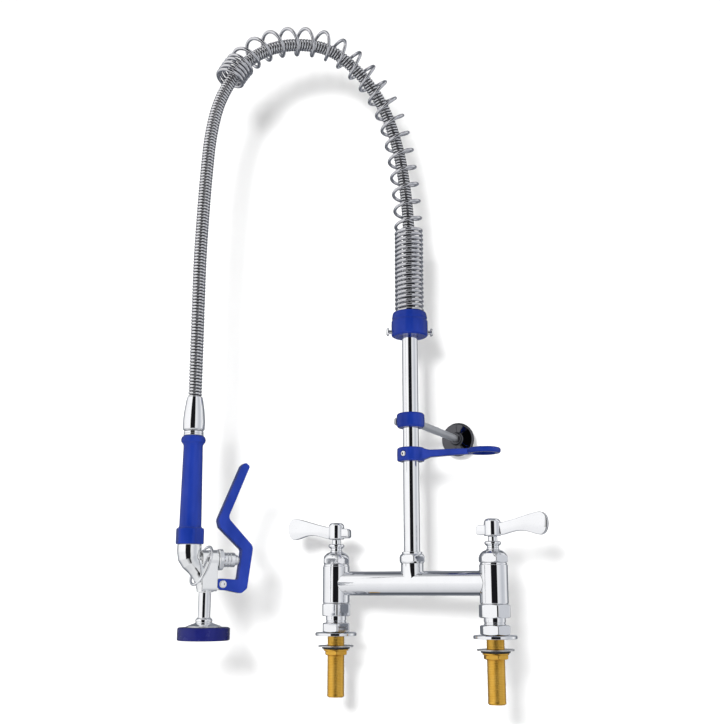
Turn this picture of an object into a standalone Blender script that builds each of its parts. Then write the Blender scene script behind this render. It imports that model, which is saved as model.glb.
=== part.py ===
"""Deck-mounted pre-rinse faucet: two lever valves, a bridge, a riser and a spring-arched spray hose.

Metres, +Z up. The origin is on the deck, midway between the two inlet shanks.
X runs along the bridge, -Y faces the user and +Y faces the wall.
"""

import bisect
import math

import bmesh
import bpy
from mathutils import Matrix, Vector

for old in list(bpy.data.objects):
    bpy.data.objects.remove(old)

MM = 0.001
UP = Vector((0, 0, 1))

# Clearances
GAP = 0.3 * MM  # between pieces that are screwed or clamped together
RUN = 0.4 * MM  # round a piece that turns or slides in another

# Valves and inlets
INLET_CENTRES = 203.2 * MM
SHANK_D = 20.9 * MM
SHANK_BORE = 15.0 * MM
SHANK_DROP = 72.0 * MM
FLANGE_D = 50.6 * MM
FLANGE_H = 4.0 * MM
LOCK_NUT_WALL = 5.55 * MM
LOCK_NUT_AF = SHANK_D + 2 * LOCK_NUT_WALL
LOCK_NUT_TOP = 15.1 * MM
NECK_D = 25.0 * MM
COUPLING_AF = 33.4 * MM
COUPLING_Z = (23.3 * MM, 38.4 * MM)
VALVE_D = 33.2 * MM
VALVE_TOP = 85.6 * MM
BONNET_AF = 31.0 * MM
BONNET_TOP = 102.4 * MM
PACKING_D = 19.6 * MM
PACKING_TOP = 110.3 * MM
STEM_D = 11.2 * MM
HUB_D = 19.7 * MM
HUB_Z = (116.5 * MM, 136.6 * MM)
HANDLE_REACH = 67.0 * MM
HANDLE_THICK = 6.0 * MM
DECK_GAP = 11.6 * MM  # room for the deck between flange and washer
WASHER_D = 43.0 * MM
SEAL_D = 34.0 * MM
MOUNT_NUT_WALL = 2.35 * MM
MOUNT_NUT_AF = SHANK_D + 2 * MOUNT_NUT_WALL
MOUNT_NUT_H = 7.0 * MM

# Bridge and riser
BRIDGE_D = 28.8 * MM
BRIDGE_BORE = 22.0 * MM
BRIDGE_Z = 62.4 * MM
BOSS_D = 27.2 * MM
RISER_NUT_Z = (86.0 * MM, 99.6 * MM)
RISER_NUT_AF = 28.6 * MM
RISER_D = 19.8 * MM
RISER_WALL = 2.4 * MM
RISER_BORE = RISER_D - 2 * RISER_WALL
RISER_TOP = 378.0 * MM

# Fittings on the riser
HOOK_Z = (209.0 * MM, 226.0 * MM)
HOOK_D = 34.6 * MM
HOOK_REACH = 114.0 * MM
CLAW_D = 40.0 * MM
CLAW_BORE = 27.0 * MM
BRACKET_Z = (251.0 * MM, 269.0 * MM)
BRACKET_D = 35.2 * MM
BRACKET_ARM_D = 10.0 * MM
WALL_Y = 180.0 * MM
WALL_FLANGE_D = 47.0 * MM
FIXING_SCREW_D = 5.2 * MM  # through the spring collar and the bracket ring
SCREW_HEADING = math.radians(25)  # the line of the two collar screws
HOOK_SCREW_D = 7.2 * MM

# Spring, hose and spray valve
ARCH_HEADING = 227.0  # degrees from +X to the side that the arch hangs over
REACH = 272.5 * MM  # riser axis to grip axis
HOSE_D = 15.4 * MM
COIL_WIRE = 4.3 * MM
COIL_D = 37.0 * MM  # outside
COIL_TIGHT_TOP = 509.0 * MM
COIL_PITCH = 5.9 * MM  # of the close-wound turns
COIL_OPEN_TURNS = 18
COIL_END_TURNS = 5
COIL_SLACK = 1.8 * MM  # from the hose to the inside of the arched coil
COLLAR_Z = (RISER_TOP - 10.6 * MM, RISER_TOP + 21.0 * MM)
COLLAR_WALL = 4.6 * MM
COLLAR_D = COIL_D + 2 * COLLAR_WALL
INLET_AF = COIL_D - 2 * COIL_WIRE - 7.4 * MM
INLET_CORNER = 0.552 * INLET_AF
INLET_H = 20.0 * MM
HOSE_BORE = 10.0 * MM
CRIMP_D = HOSE_D + 1.8 * MM
FERRULE_Z = (231.0 * MM, 270.0 * MM)
GRIP_Z = (104.2 * MM, 225.2 * MM)
GRIP_D = 23.4 * MM
GRIP_HEX_AF = 28.6 * MM
OUTLET_OFFSET = 19.0 * MM
BUMPER_D = 57.4 * MM
BUMPER_Z = (0.8 * MM, 14.8 * MM)
PLUNGER_Z = 87.6 * MM
PLUNGER_D = 10.9 * MM
GUIDE_WALL = 2.15 * MM
GUIDE_AF = 23.0 * MM
BODY_D = 26.8 * MM
BLOCK_WIDTH = 20.6 * MM
PORT_D = 21.8 * MM
SWEEP_D = 23.2 * MM
OUTLET_BOSS_D = 18.6 * MM
OUTLET_TOP = 52.4 * MM
OUTLET_D = 13.8 * MM
FACE_D = 38.4 * MM
PIVOT = (37.3 * MM, 60.9 * MM)  # from the grip axis towards the riser, and height
LEVER_WIDTH = 14.0 * MM
LUG_WIDTH = 6.8 * MM
PIN_D = 4.8 * MM
RING_TOP = (22.0 * MM, 101.6 * MM)
RING_BOTTOM = (4.6 * MM, 60.4 * MM)
RING_WIRE = 3.0 * MM
RING_WIDTH = 40.0 * MM
RING_YAW = math.radians(12)  # the loose ring hangs a little askew

FINISHES = {
    "chrome": ((0.75, 0.76, 0.79), 1.0, 0.08),
    "steel": ((0.60, 0.61, 0.64), 1.0, 0.22),
    "brass": ((0.62, 0.40, 0.08), 1.0, 0.30),
    "blue": ((0.03, 0.06, 0.50), 0.0, 0.38),
    "black": ((0.02, 0.02, 0.02), 0.0, 0.60),
}


# ---------------------------------------------------------------- helpers


def finish(obj, kind):
    """Gives the object its own material of this kind."""
    colour, metallic, roughness = FINISHES[kind]
    material = bpy.data.materials.new(obj.name)
    material.use_nodes = True
    shader = material.node_tree.nodes["Principled BSDF"]
    shader.inputs["Base Color"].default_value = (*colour, 1.0)
    shader.inputs["Metallic"].default_value = metallic
    shader.inputs["Roughness"].default_value = roughness
    obj.data.materials.append(material)


def from_bmesh(name, shape, kind, place):
    """A scene object made of this closed shape, with its faces outward."""
    bmesh.ops.recalc_face_normals(shape, faces=shape.faces)
    mesh = bpy.data.meshes.new(name)
    shape.to_mesh(mesh)
    shape.free()
    obj = bpy.data.objects.new(name, mesh)
    obj.matrix_world = place
    bpy.context.scene.collection.objects.link(obj)
    if kind:
        finish(obj, kind)
    return obj


def bridge_rings(shape, rings, closed):
    """Skins a list of vertex rings. A ring of one vertex is a tip."""
    pairs = list(zip(rings, rings[1:]))
    if closed:
        pairs.append((rings[-1], rings[0]))
    for low, high in pairs:
        count = max(len(low), len(high))
        for i in range(count):
            j = (i + 1) % count
            corners = []
            for ring, index in ((low, i), (low, j), (high, j), (high, i)):
                vertex = ring[index % len(ring)]
                if vertex not in corners:
                    corners.append(vertex)
            if len(corners) > 2:
                shape.faces.new(corners)


def section_radius(size, angle):
    """A number is a round section. A pair is a hexagon: across flats, and its largest radius."""
    if not isinstance(size, tuple):
        return size
    off_flat = (angle + math.pi / 6) % (math.pi / 3) - math.pi / 6
    return min(size[0] / 2 / math.cos(off_flat), size[1])


def turned(name, profile, kind, place=Matrix(), sides=24, closed=False):
    """A solid turned about Z from (radius, height) pairs. A closed profile leaves a bore."""
    shape = bmesh.new()
    rings = []
    for size, height in profile:
        if size == 0:
            rings.append([shape.verts.new((0, 0, height))])
            continue
        ring = []
        for i in range(sides):
            angle = 2 * math.pi * i / sides
            radius = section_radius(size, angle)
            ring.append(shape.verts.new((radius * math.cos(angle), radius * math.sin(angle), height)))
        rings.append(ring)
    if not closed:
        for ring in (rings[0], rings[-1]):
            if len(ring) > 1:
                shape.faces.new(ring)
    bridge_rings(shape, rings, closed)
    return from_bmesh(name, shape, kind, place)


def tube(name, outer, bore, low, high, kind, place=Matrix(), sides=24):
    """A plain ring or pipe between two heights."""
    profile = [(outer / 2, low), (outer / 2, high), (bore / 2, high), (bore / 2, low)]
    return turned(name, profile, kind, place, sides, closed=True)


FLAT_FORWARD = Matrix.Rotation(math.pi / 6, 4, "Z")  # turns one flat of a hexagon to the front


def hex_nut(name, across_flats, bore, low, high, kind, place, chamfer=1.6 * MM):
    """A hexagon with its corners turned down at both ends."""
    corner = across_flats / math.sqrt(3)
    turned_down = (across_flats, across_flats / 2)
    full = (across_flats, corner * 0.985)
    profile = [
        (turned_down, low),
        (full, low + chamfer),
        (full, high - chamfer),
        (turned_down, high),
        (bore / 2, high),
        (bore / 2, low),
    ]
    return turned(name, profile, kind, place @ FLAT_FORWARD, 24, closed=True)


def plate(name, outline, low, high, kind, place):
    """A flat outline in local X and Z, drawn from Y = low to Y = high."""
    shape = bmesh.new()
    rings = [[shape.verts.new((x, y, z)) for x, z in outline] for y in (low, high)]
    shape.faces.new(rings[0])
    shape.faces.new(rings[1])
    bridge_rings(shape, rings, False)
    return from_bmesh(name, shape, kind, place)


def rounded(corners, steps=3):
    """The outline through (x, z, fillet radius) corners, each turned through its fillet."""
    outline = []
    count = len(corners)
    for i, (x, z, radius) in enumerate(corners):
        here = Vector((x, z))
        before = (Vector(corners[i - 1][:2]) - here).normalized()
        after = (Vector(corners[(i + 1) % count][:2]) - here).normalized()
        half = before.angle(after) / 2
        if radius == 0 or half > 1.5:
            outline.append((x, z))
            continue
        centre = here + (before + after).normalized() * radius / math.sin(half)
        start = here + before * radius / math.tan(half) - centre
        end = here + after * radius / math.tan(half) - centre
        for k in range(steps + 1):
            spoke = start.lerp(end, k / steps).normalized() * radius
            outline.append(tuple(centre + spoke))
    return outline


def swept(name, points, radius, sides, kind, place=Matrix(), closed=False):
    """A round wire through the points, without twist, and with flat ends."""
    shape = bmesh.new()
    count = len(points)
    rings = []
    normal = None
    for i, point in enumerate(points):
        ahead = points[(i + 1) % count] if closed else points[min(i + 1, count - 1)]
        behind = points[i - 1] if closed else points[max(i - 1, 0)]
        tangent = (ahead - behind).normalized()
        if normal is None:
            normal = tangent.orthogonal()
        normal = (normal - tangent * normal.dot(tangent)).normalized()
        side = tangent.cross(normal)
        ring = []
        for k in range(sides):
            angle = 2 * math.pi * k / sides
            spoke = normal * math.cos(angle) + side * math.sin(angle)
            ring.append(shape.verts.new(point + spoke * radius))
        rings.append(ring)
    if not closed:
        shape.faces.new(rings[0])
        shape.faces.new(rings[-1])
    bridge_rings(shape, rings, closed)
    return from_bmesh(name, shape, kind, place)


def boolean(target, tool, operation):
    """Adds the tool to the target or cuts it away, and keeps the tool out of the part."""
    modifier = target.modifiers.new(operation.title() + " " + tool.name, "BOOLEAN")
    modifier.operation = operation
    modifier.solver = "EXACT"
    modifier.object = tool
    tool.hide_render = True
    tool.display_type = "WIRE"


def cut(target, tool):
    boolean(target, tool, "DIFFERENCE")


def join(target, tool):
    boolean(target, tool, "UNION")


def rod(name, radius, start, end, sides=24):
    """A round cutter or stub between two points."""
    axis = Vector(end) - Vector(start)
    place = Matrix.Translation(start) @ axis.to_track_quat("Z", "Y").to_matrix().to_4x4()
    return turned(name, [(radius, 0), (radius, axis.length)], None, place, sides)


def box(name, low, high, place=Matrix()):
    """A cutter between two corners."""
    outline = [(low[0], low[2]), (high[0], low[2]), (high[0], high[2]), (low[0], high[2])]
    return plate(name, outline, low[1], high[1], None, place)


def along(start, end, share):
    return start + (end - start) * share


# ---------------------------------------------------------------- valves


def below_deck(side, place):
    """The brass shank, and what clamps the valve to the deck."""
    hole = SHANK_D + 2 * GAP
    r = SHANK_D / 2
    profile = [
        (r - 1.2 * MM, -SHANK_DROP),
        (r, -SHANK_DROP + 1.6 * MM),
        (r, LOCK_NUT_TOP),
        (SHANK_BORE / 2, LOCK_NUT_TOP),
        (SHANK_BORE / 2, -SHANK_DROP),
    ]
    turned(side + "_shank", profile, "brass", place, closed=True)
    washer_top = -DECK_GAP
    washer_low = washer_top - 1.5 * MM
    seal_low = washer_low - GAP - 2.0 * MM
    nut_top = seal_low - GAP
    tube(side + "_washer", WASHER_D, hole, washer_low, washer_top, "steel", place)
    tube(side + "_seal", SEAL_D, hole, seal_low, washer_low - GAP, "black", place)
    af = MOUNT_NUT_AF
    profile = [
        ((af, af / 2), nut_top - MOUNT_NUT_H),
        ((af, 0.56 * af), nut_top - MOUNT_NUT_H + 1.2 * MM),
        ((af, 0.56 * af), nut_top - 2.0 * MM),
        (0.60 * af, nut_top - 1.9 * MM),
        (0.60 * af, nut_top),
        (hole / 2, nut_top),
        (hole / 2, nut_top - MOUNT_NUT_H),
    ]
    turned(side + "_mount_nut", profile, "brass", place @ FLAT_FORWARD, closed=True)


def above_deck(side, place):
    """Flange, lock nut, tailpiece, coupling nut, valve body, bonnet and packing nut."""
    hole = SHANK_D + 2 * GAP
    profile = [
        (FLANGE_D / 2 - 0.5 * MM, 0),
        (FLANGE_D / 2, 0.6 * MM),
        (FLANGE_D / 2, FLANGE_H - 1.4 * MM),
        (FLANGE_D / 2 - 2.2 * MM, FLANGE_H),
        (hole / 2, FLANGE_H),
        (hole / 2, 0),
    ]
    turned(side + "_flange", profile, "chrome", place, 28, closed=True)
    hex_nut(side + "_lock_nut", LOCK_NUT_AF, hole, FLANGE_H + GAP, LOCK_NUT_TOP, "chrome", place)
    low, high = COUPLING_Z
    tube(side + "_tailpiece", NECK_D, SHANK_BORE, LOCK_NUT_TOP + GAP, high - GAP, "chrome", place)
    hex_nut(side + "_coupling_nut", COUPLING_AF, NECK_D + 2 * GAP, low, high, "chrome", place, 2.4 * MM)
    r = VALVE_D / 2
    profile = [
        (0, high + GAP),
        (r - 1.0 * MM, high + GAP),
        (r, high + 1.2 * MM),
        (r, VALVE_TOP - 2.4 * MM),
        (r - 0.8 * MM, VALVE_TOP - 1.2 * MM),
        (r - 0.8 * MM, VALVE_TOP),
        (0, VALVE_TOP),
    ]
    turned(side + "_valve_body", profile, "chrome", place, 28)
    low = VALVE_TOP + GAP
    af = BONNET_AF
    stem_hole = STEM_D / 2 + RUN
    profile = [
        ((af, 0.52 * af), low),
        ((af, 0.565 * af), low + 1.5 * MM),
        ((af, 0.565 * af), low + 7.0 * MM),
        ((af, 0.51 * af), low + 9.0 * MM),
        (0.45 * af, low + 11.6 * MM),
        (0.36 * af, low + 14.0 * MM),
        (0.25 * af, low + 15.3 * MM),
        (7.2 * MM, BONNET_TOP),
        (stem_hole, BONNET_TOP),
        (stem_hole, low),
    ]
    turned(side + "_bonnet", profile, "chrome", place @ FLAT_FORWARD, closed=True)
    low = BONNET_TOP + GAP
    high = PACKING_TOP
    profile = [
        (7.2 * MM, low),
        (7.2 * MM, low + 3.0 * MM),
        (PACKING_D / 2 - 0.8 * MM, low + 3.6 * MM),
        (PACKING_D / 2, low + 4.8 * MM),
        (PACKING_D / 2, high - 0.8 * MM),
        (PACKING_D / 2 - 1.2 * MM, high),
        (stem_hole, high),
        (stem_hole, low),
    ]
    turned(side + "_packing_nut", profile, "chrome", place, closed=True)


def lever_handle(side, place, outward):
    """The stem, and a hub with a blade outward and a short stub inward."""
    spline = 4.0 * MM
    low, high = HUB_Z
    profile = [
        (0, VALVE_TOP + 2 * GAP),
        (STEM_D / 2, VALVE_TOP + 2 * GAP),
        (STEM_D / 2, low - GAP),
        (spline, low - GAP),
        (spline, high - 5.0 * MM),
        (0, high - 5.0 * MM),
    ]
    turned(side + "_stem", profile, "chrome", place, 20)
    r = HUB_D / 2
    tall = high - low
    profile = [
        (0, 0),
        (r - 0.6 * MM, 0),
        (r, 0.8 * MM),
        (r, tall - 4.0 * MM),
        (0.93 * r, tall - 2.0 * MM),
        (0.76 * r, tall - 0.6 * MM),
        (0.5 * r, tall),
        (0, tall),
    ]
    hub_place = place @ Matrix.Translation((0, 0, low))
    hub = turned(side + "_handle", profile, "chrome", hub_place)
    tip = HANDLE_REACH
    corners = [
        (0.0, 0.9 * MM, 0),
        (0.19 * tip, 0.9 * MM, 0),
        (0.36 * tip, 4.7 * MM, 12 * MM),
        (0.66 * tip, 5.4 * MM, 14 * MM),
        (0.86 * tip, 0.2 * MM, 9 * MM),
        (tip, 3.0 * MM, 9 * MM),
        (tip, 26.6 * MM, 10 * MM),
        (0.80 * tip, 25.6 * MM, 8 * MM),
        (0.0, 13.9 * MM, 0),
    ]
    outline = [(outward * x, z) for x, z in rounded(corners)]
    half = HANDLE_THICK / 2
    blade = plate(side + "_blade_tool", outline, -half, half, None, hub_place)
    join(hub, blade)
    corners = [
        (0.0, 1.1 * MM, 0),
        (18.9 * MM, 1.1 * MM, 2.5 * MM),
        (18.9 * MM, 12.9 * MM, 3.5 * MM),
        (0.0, 12.9 * MM, 0),
    ]
    outline = [(-outward * x, z) for x, z in rounded(corners)]
    stub = plate(side + "_stub_tool", outline, -4.4 * MM, 4.4 * MM, None, hub_place)
    join(hub, stub)
    bore_top = tall - 5.0 * MM + GAP
    socket = rod(side + "_socket_tool", spline + GAP, (0, 0, -1 * MM), (0, 0, bore_top))
    socket.matrix_world = hub_place @ socket.matrix_world
    cut(hub, socket)


for side_name, outward_sign in (("left", -1), ("right", 1)):
    valve_place = Matrix.Translation((outward_sign * INLET_CENTRES / 2, 0, 0))
    below_deck(side_name, valve_place)
    above_deck(side_name, valve_place)
    lever_handle(side_name, valve_place, outward_sign)


# ---------------------------------------------------------------- bridge and riser

half_span = INLET_CENTRES / 2
bridge = rod("bridge", BRIDGE_D / 2, (-half_span, 0, BRIDGE_Z), (half_span, 0, BRIDGE_Z), 28)
finish(bridge, "chrome")
boss_top = RISER_NUT_Z[0] - GAP
join(bridge, rod("boss_tool", BOSS_D / 2, (0, 0, BRIDGE_Z), (0, 0, boss_top)))
cut(bridge, rod("waterway_tool", BRIDGE_BORE / 2, (-half_span, 0, BRIDGE_Z), (half_span, 0, BRIDGE_Z), 20))
cut(bridge, rod("boss_bore_tool", RISER_BORE / 2, (0, 0, BRIDGE_Z), (0, 0, boss_top + MM), 18))
for side_name, outward_sign in (("left", -1), ("right", 1)):
    x = outward_sign * half_span
    seat = VALVE_D / 2 + GAP
    cut(bridge, rod(side_name + "_saddle_tool", seat, (x, 0, 0), (x, 0, 2 * BRIDGE_Z), 36))

hex_nut("riser_nut", RISER_NUT_AF, RISER_D + 2 * GAP, *RISER_NUT_Z, "chrome", Matrix(), 3.0 * MM)
tube("riser", RISER_D, RISER_BORE, RISER_NUT_Z[0] + GAP, RISER_TOP, "chrome")

inlet_low = RISER_TOP + GAP
profile = [
    ((INLET_AF, INLET_CORNER), inlet_low),
    ((INLET_AF, INLET_CORNER), inlet_low + 9.0 * MM),
    (CRIMP_D / 2, inlet_low + 9.6 * MM),
    (CRIMP_D / 2, inlet_low + INLET_H),
    (HOSE_BORE / 2, inlet_low + INLET_H),
    (HOSE_BORE / 2, inlet_low),
]
turned("hose_inlet", profile, "chrome", FLAT_FORWARD, closed=True)
HOSE_START = inlet_low + INLET_H + GAP


# ---------------------------------------------------------------- spring collar

low, high = COLLAR_Z
collar_floor = low + 12.6 * MM
bore = RISER_D / 2 + GAP
recess = COIL_D / 2 + RUN
throat = INLET_CORNER + 2.0 * MM
profile = [
    (COLLAR_D / 2 - 1.4 * MM, low),
    (COLLAR_D / 2, low + 1.6 * MM),
    (COLLAR_D / 2, low + 20.4 * MM),
    (COLLAR_D / 2 - 1.1 * MM, low + 21.6 * MM),
    (COLLAR_D / 2 - 1.1 * MM, low + 25.6 * MM),
    (COLLAR_D / 2 - 2.6 * MM, high - 1.6 * MM),
    (recess + 1.1 * MM, high),
    (recess, high - 0.8 * MM),
    (recess, collar_floor),
    (throat, collar_floor),
    (throat, low + 9.5 * MM),
    (bore, low + 9.5 * MM),
    (bore, low),
]
collar = turned("spring_collar", profile, "blue", closed=True)
screw_z = low + 6.0 * MM
screw_r = FIXING_SCREW_D / 2
screw_line = Vector((math.cos(SCREW_HEADING), math.sin(SCREW_HEADING), 0))
for side_name, outward_sign in (("left", -1), ("right", 1)):
    tip = screw_line * outward_sign * (RISER_D / 2 + GAP) + UP * screw_z
    out = screw_line * outward_sign * (COLLAR_D / 2 + 9.0 * MM) + UP * screw_z
    cut(collar, rod(side_name + "_collar_hole_tool", screw_r + GAP, tip - (out - tip) * 0.05, out, 16))
    shank = COLLAR_D / 2 + 3.2 * MM - (RISER_D / 2 + GAP)
    head_place = Matrix.Translation(tip) @ (out - tip).to_track_quat("Z", "Y").to_matrix().to_4x4()
    profile = [
        (0, 0),
        (screw_r, 0),
        (screw_r, shank),
        (5.1 * MM, shank),
        (5.1 * MM, shank + 1.6 * MM),
        (3.6 * MM, shank + 2.9 * MM),
        (0, shank + 2.9 * MM),
    ]
    turned(side_name + "_collar_screw", profile, "chrome", head_place, 16)


# ---------------------------------------------------------------- wall bracket and hook

low, high = BRACKET_Z
middle = (low + high) / 2
bore = RISER_D / 2 + GAP
profile = [
    (BRACKET_D / 2 - 2.0 * MM, low),
    (BRACKET_D / 2, low + 2.0 * MM),
    (BRACKET_D / 2, high - 2.0 * MM),
    (BRACKET_D / 2 - 2.0 * MM, high),
    (bore, high),
    (bore, low),
]
bracket = turned("bracket_ring", profile, "blue", closed=True)
arm_r = BRACKET_ARM_D / 2
arm_start = RISER_D / 2 + 2.2 * MM
cut(bracket, rod("arm_hole_tool", arm_r + GAP, (0, arm_start - GAP, middle), (0, BRACKET_D, middle)))
cut(bracket, rod("bracket_hole_tool", screw_r + GAP, (-5 * MM, 0, middle), (-BRACKET_D, 0, middle), 16))
start = -(RISER_D / 2 + GAP)
head = -(BRACKET_D / 2 + GAP)
screw_place = Matrix.Translation((start, 0, middle)) @ Matrix.Rotation(-math.pi / 2, 4, "Y")
profile = [
    (0, 0),
    (screw_r, 0),
    (screw_r, start - head),
    (4.9 * MM, start - head),
    (4.9 * MM, start - head + 2.6 * MM),
    (4.3 * MM, start - head + 3.4 * MM),
    (0, start - head + 3.4 * MM),
]
turned("bracket_screw", profile, "chrome", screw_place, 16)

dome = 14.0 * MM
arm_seat = 6.0 * MM
arm_end = WALL_Y - arm_seat
arm_place = Matrix.Translation((0, arm_start, middle)) @ Matrix.Rotation(-math.pi / 2, 4, "X")
arm_length = arm_end - arm_start
profile = [(0, 0), (arm_r, 0), (arm_r, arm_length), (0, arm_length)]
turned("bracket_arm", profile, "chrome", arm_place, 20)
flange_place = Matrix.Translation((0, WALL_Y, middle)) @ Matrix.Rotation(math.pi / 2, 4, "X")
r = WALL_FLANGE_D / 2
profile = [
    (r - 0.8 * MM, 0),
    (r, 1.0 * MM),
    (r, 2.4 * MM),
    (0.86 * r, 4.2 * MM),
    (0.60 * r, 6.2 * MM),
    (arm_r + 3.6 * MM, 8.0 * MM),
    (arm_r + 3.0 * MM, dome),
    (arm_r + GAP, dome),
    (arm_r + GAP, arm_seat - GAP),
    (0, arm_seat - GAP),
    (0, 0),
]
turned("wall_flange", profile, "chrome", flange_place)

low, high = HOOK_Z
middle = (low + high) / 2
profile = [
    (HOOK_D / 2 - 1.6 * MM, low),
    (HOOK_D / 2, low + 1.6 * MM),
    (HOOK_D / 2, high - 1.6 * MM),
    (HOOK_D / 2 - 1.6 * MM, high),
]
hook = turned("hook", profile, "blue")
tip_in = HOOK_REACH - CLAW_D / 2
corners = [
    (8.0 * MM, low + 1.1 * MM, 0),
    (18.0 * MM, low + 1.1 * MM, 3 * MM),
    (24.0 * MM, middle - 4.4 * MM, 4 * MM),
    (0.62 * HOOK_REACH, middle - 3.6 * MM, 0),
    (tip_in, middle - 3.6 * MM, 0),
    (tip_in, middle + 3.6 * MM, 0),
    (0.62 * HOOK_REACH, middle + 3.6 * MM, 0),
    (24.0 * MM, middle + 4.9 * MM, 4 * MM),
    (18.0 * MM, high - 1.1 * MM, 3 * MM),
    (8.0 * MM, high - 1.1 * MM, 0),
]
join(hook, plate("hook_arm_tool", rounded(corners), -6.0 * MM, 6.0 * MM, None, Matrix()))
claw_half = 3.3 * MM
join(hook, rod("claw_tool", CLAW_D / 2, (tip_in, 0, middle - claw_half), (tip_in, 0, middle + claw_half)))
cut(hook, rod("claw_bore_tool", CLAW_BORE / 2, (tip_in, 0, low), (tip_in, 0, high)))
mouth_low = (tip_in - 4.0 * MM, -30.0 * MM, low - MM)
mouth_high = (tip_in + 10.5 * MM, 0.0, high + MM)
cut(hook, box("claw_mouth_tool", mouth_low, mouth_high))
cut(hook, rod("hook_bore_tool", RISER_D / 2 + RUN, (0, 0, low - MM), (0, 0, high + MM)))
screw_heading = math.radians(257.0)
screw_out = Vector((math.cos(screw_heading), math.sin(screw_heading), 0))
screw_start = screw_out * (RISER_D / 2 + 2 * RUN) + Vector((0, 0, middle))
screw_r = HOOK_SCREW_D / 2
hole_start = screw_start - screw_out * 3 * MM
hole_end = screw_start + screw_out * HOOK_D
cut(hook, rod("hook_hole_tool", screw_r + GAP, hole_start, hole_end, 16))
screw_place = Matrix.Translation(screw_start) @ screw_out.to_track_quat("Z", "Y").to_matrix().to_4x4()
screw_length = HOOK_D / 2 - RISER_D / 2 - 0.6 * MM
profile = [(0, 0), (screw_r, 0), (screw_r, screw_length), (0, screw_length)]
turned("hook_screw", profile, "steel", screw_place, 16)


# ---------------------------------------------------------------- hose and spring

heading = math.radians(ARCH_HEADING)
OUT = Vector((math.cos(heading), math.sin(heading), 0))
FERRULE_TOP = FERRULE_Z[1]

# Reach and height of the hose's centre line, in shares of REACH and in metres.
HOSE_LINE = [
    (0.000, HOSE_START),
    (0.000, 0.455),
    (0.000, 0.510),
    (0.015, 0.563),
    (0.055, 0.623),
    (0.125, 0.674),
    (0.225, 0.711),
    (0.340, 0.735),
    (0.430, 0.7435),
    (0.515, 0.7435),
    (0.605, 0.7385),
    (0.690, 0.729),
    (0.765, 0.715),
    (0.830, 0.697),
    (0.885, 0.674),
    (0.940, 0.638),
    (0.970, 0.597),
    (0.984, 0.550),
    (0.994, 0.490),
    (1.000, 0.430),
    (1.000, 0.350),
    (1.000, FERRULE_TOP + GAP),
]


def smooth_line(points, spacing):
    """Points a fixed distance apart on a Catmull-Rom curve through these."""
    dense = []
    last = len(points) - 1
    for i in range(last):
        a, b, c, d = (points[min(max(i + k, 0), last)] for k in (-1, 0, 1, 2))
        for step in range(24):
            t = step / 24
            bend = 2 * b + (c - a) * t + (2 * a - 5 * b + 4 * c - d) * t**2
            dense.append((bend + (3 * b - a - 3 * c + d) * t**3) / 2)
    dense.append(points[last])
    lengths = [0.0]
    for p, q in zip(dense, dense[1:]):
        lengths.append(lengths[-1] + (q - p).length)
    count = round(lengths[-1] / spacing)
    even = []
    j = 0
    for k in range(count + 1):
        target = lengths[-1] * k / count
        while j < len(dense) - 2 and lengths[j + 1] < target:
            j += 1
        share = (target - lengths[j]) / (lengths[j + 1] - lengths[j])
        even.append(along(dense[j], dense[j + 1], share))
    return even


hose_points = [OUT * (share * REACH) + UP * height for share, height in HOSE_LINE]
hose_line = smooth_line(hose_points, 15.0 * MM)
hose_curve = bpy.data.curves.new("hose", "CURVE")
hose_curve.dimensions = "3D"
hose_curve.bevel_depth = HOSE_D / 2
hose_curve.bevel_resolution = 3
hose_curve.use_fill_caps = True
hose_spline = hose_curve.splines.new("POLY")
hose_spline.points.add(len(hose_line) - 1)
for spline_point, place in zip(hose_spline.points, hose_line):
    spline_point.co = (*place, 1.0)
hose = bpy.data.objects.new("hose", hose_curve)
bpy.context.scene.collection.objects.link(hose)
finish(hose, "steel")

# The hose lies on the inner side of the arched coil, so the coil's centre line stands outside it.
fine_line = smooth_line(hose_points, 1.0 * MM)
side_axis = OUT.cross(UP)
LIFT = COIL_D / 2 - COIL_WIRE - HOSE_D / 2 - COIL_SLACK


def smoothstep(low, high, value):
    t = min(max((value - low) / (high - low), 0.0), 1.0)
    return t * t * (3 - 2 * t)


coil_line = []
passed_top = False
for i in range(1, len(fine_line) - 1):
    point = fine_line[i]
    tangent = (fine_line[i + 1] - fine_line[i - 1]).normalized()
    passed_top = passed_top or tangent.z < -0.2
    lift = LIFT * smoothstep(0.53, 0.70, point.z)
    if passed_top:
        lift *= 0.45 + 0.55 * smoothstep(0.665, 0.73, point.z)
    if passed_top and point.z < 0.672:
        break
    coil_line.append(point + side_axis.cross(tangent) * lift)

coil_lengths = [0.0]
for p, q in zip(coil_line, coil_line[1:]):
    coil_lengths.append(coil_lengths[-1] + (q - p).length)

STEPS_PER_TURN = 8
coil_low = collar_floor + GAP + COIL_WIRE / 2 - HOSE_START
tight_length = COIL_TIGHT_TOP - HOSE_START - coil_low
tight_turns = tight_length / COIL_PITCH
end_start = tight_turns + COIL_OPEN_TURNS
coil_steps = round((end_start + COIL_END_TURNS) * STEPS_PER_TURN)


def open_share(turns):
    """1 on the open turns and 0 on the close-wound ones, eased between them."""
    ease = 0.6
    opening = smoothstep(tight_turns - ease, tight_turns + ease, turns)
    return opening * (1 - smoothstep(end_start - ease, end_start + ease, turns))


def coil_frame(distance):
    """A point on the coil's centre line and its tangent. Below the line's start it goes straight down."""
    if distance <= 0:
        return coil_line[0] + UP * distance, UP
    i = min(bisect.bisect_right(coil_lengths, distance), len(coil_lengths) - 1)
    share = (distance - coil_lengths[i - 1]) / (coil_lengths[i] - coil_lengths[i - 1])
    tangent = coil_line[i] - coil_line[i - 1]
    return along(coil_line[i - 1], coil_line[i], share), tangent.normalized()


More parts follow.
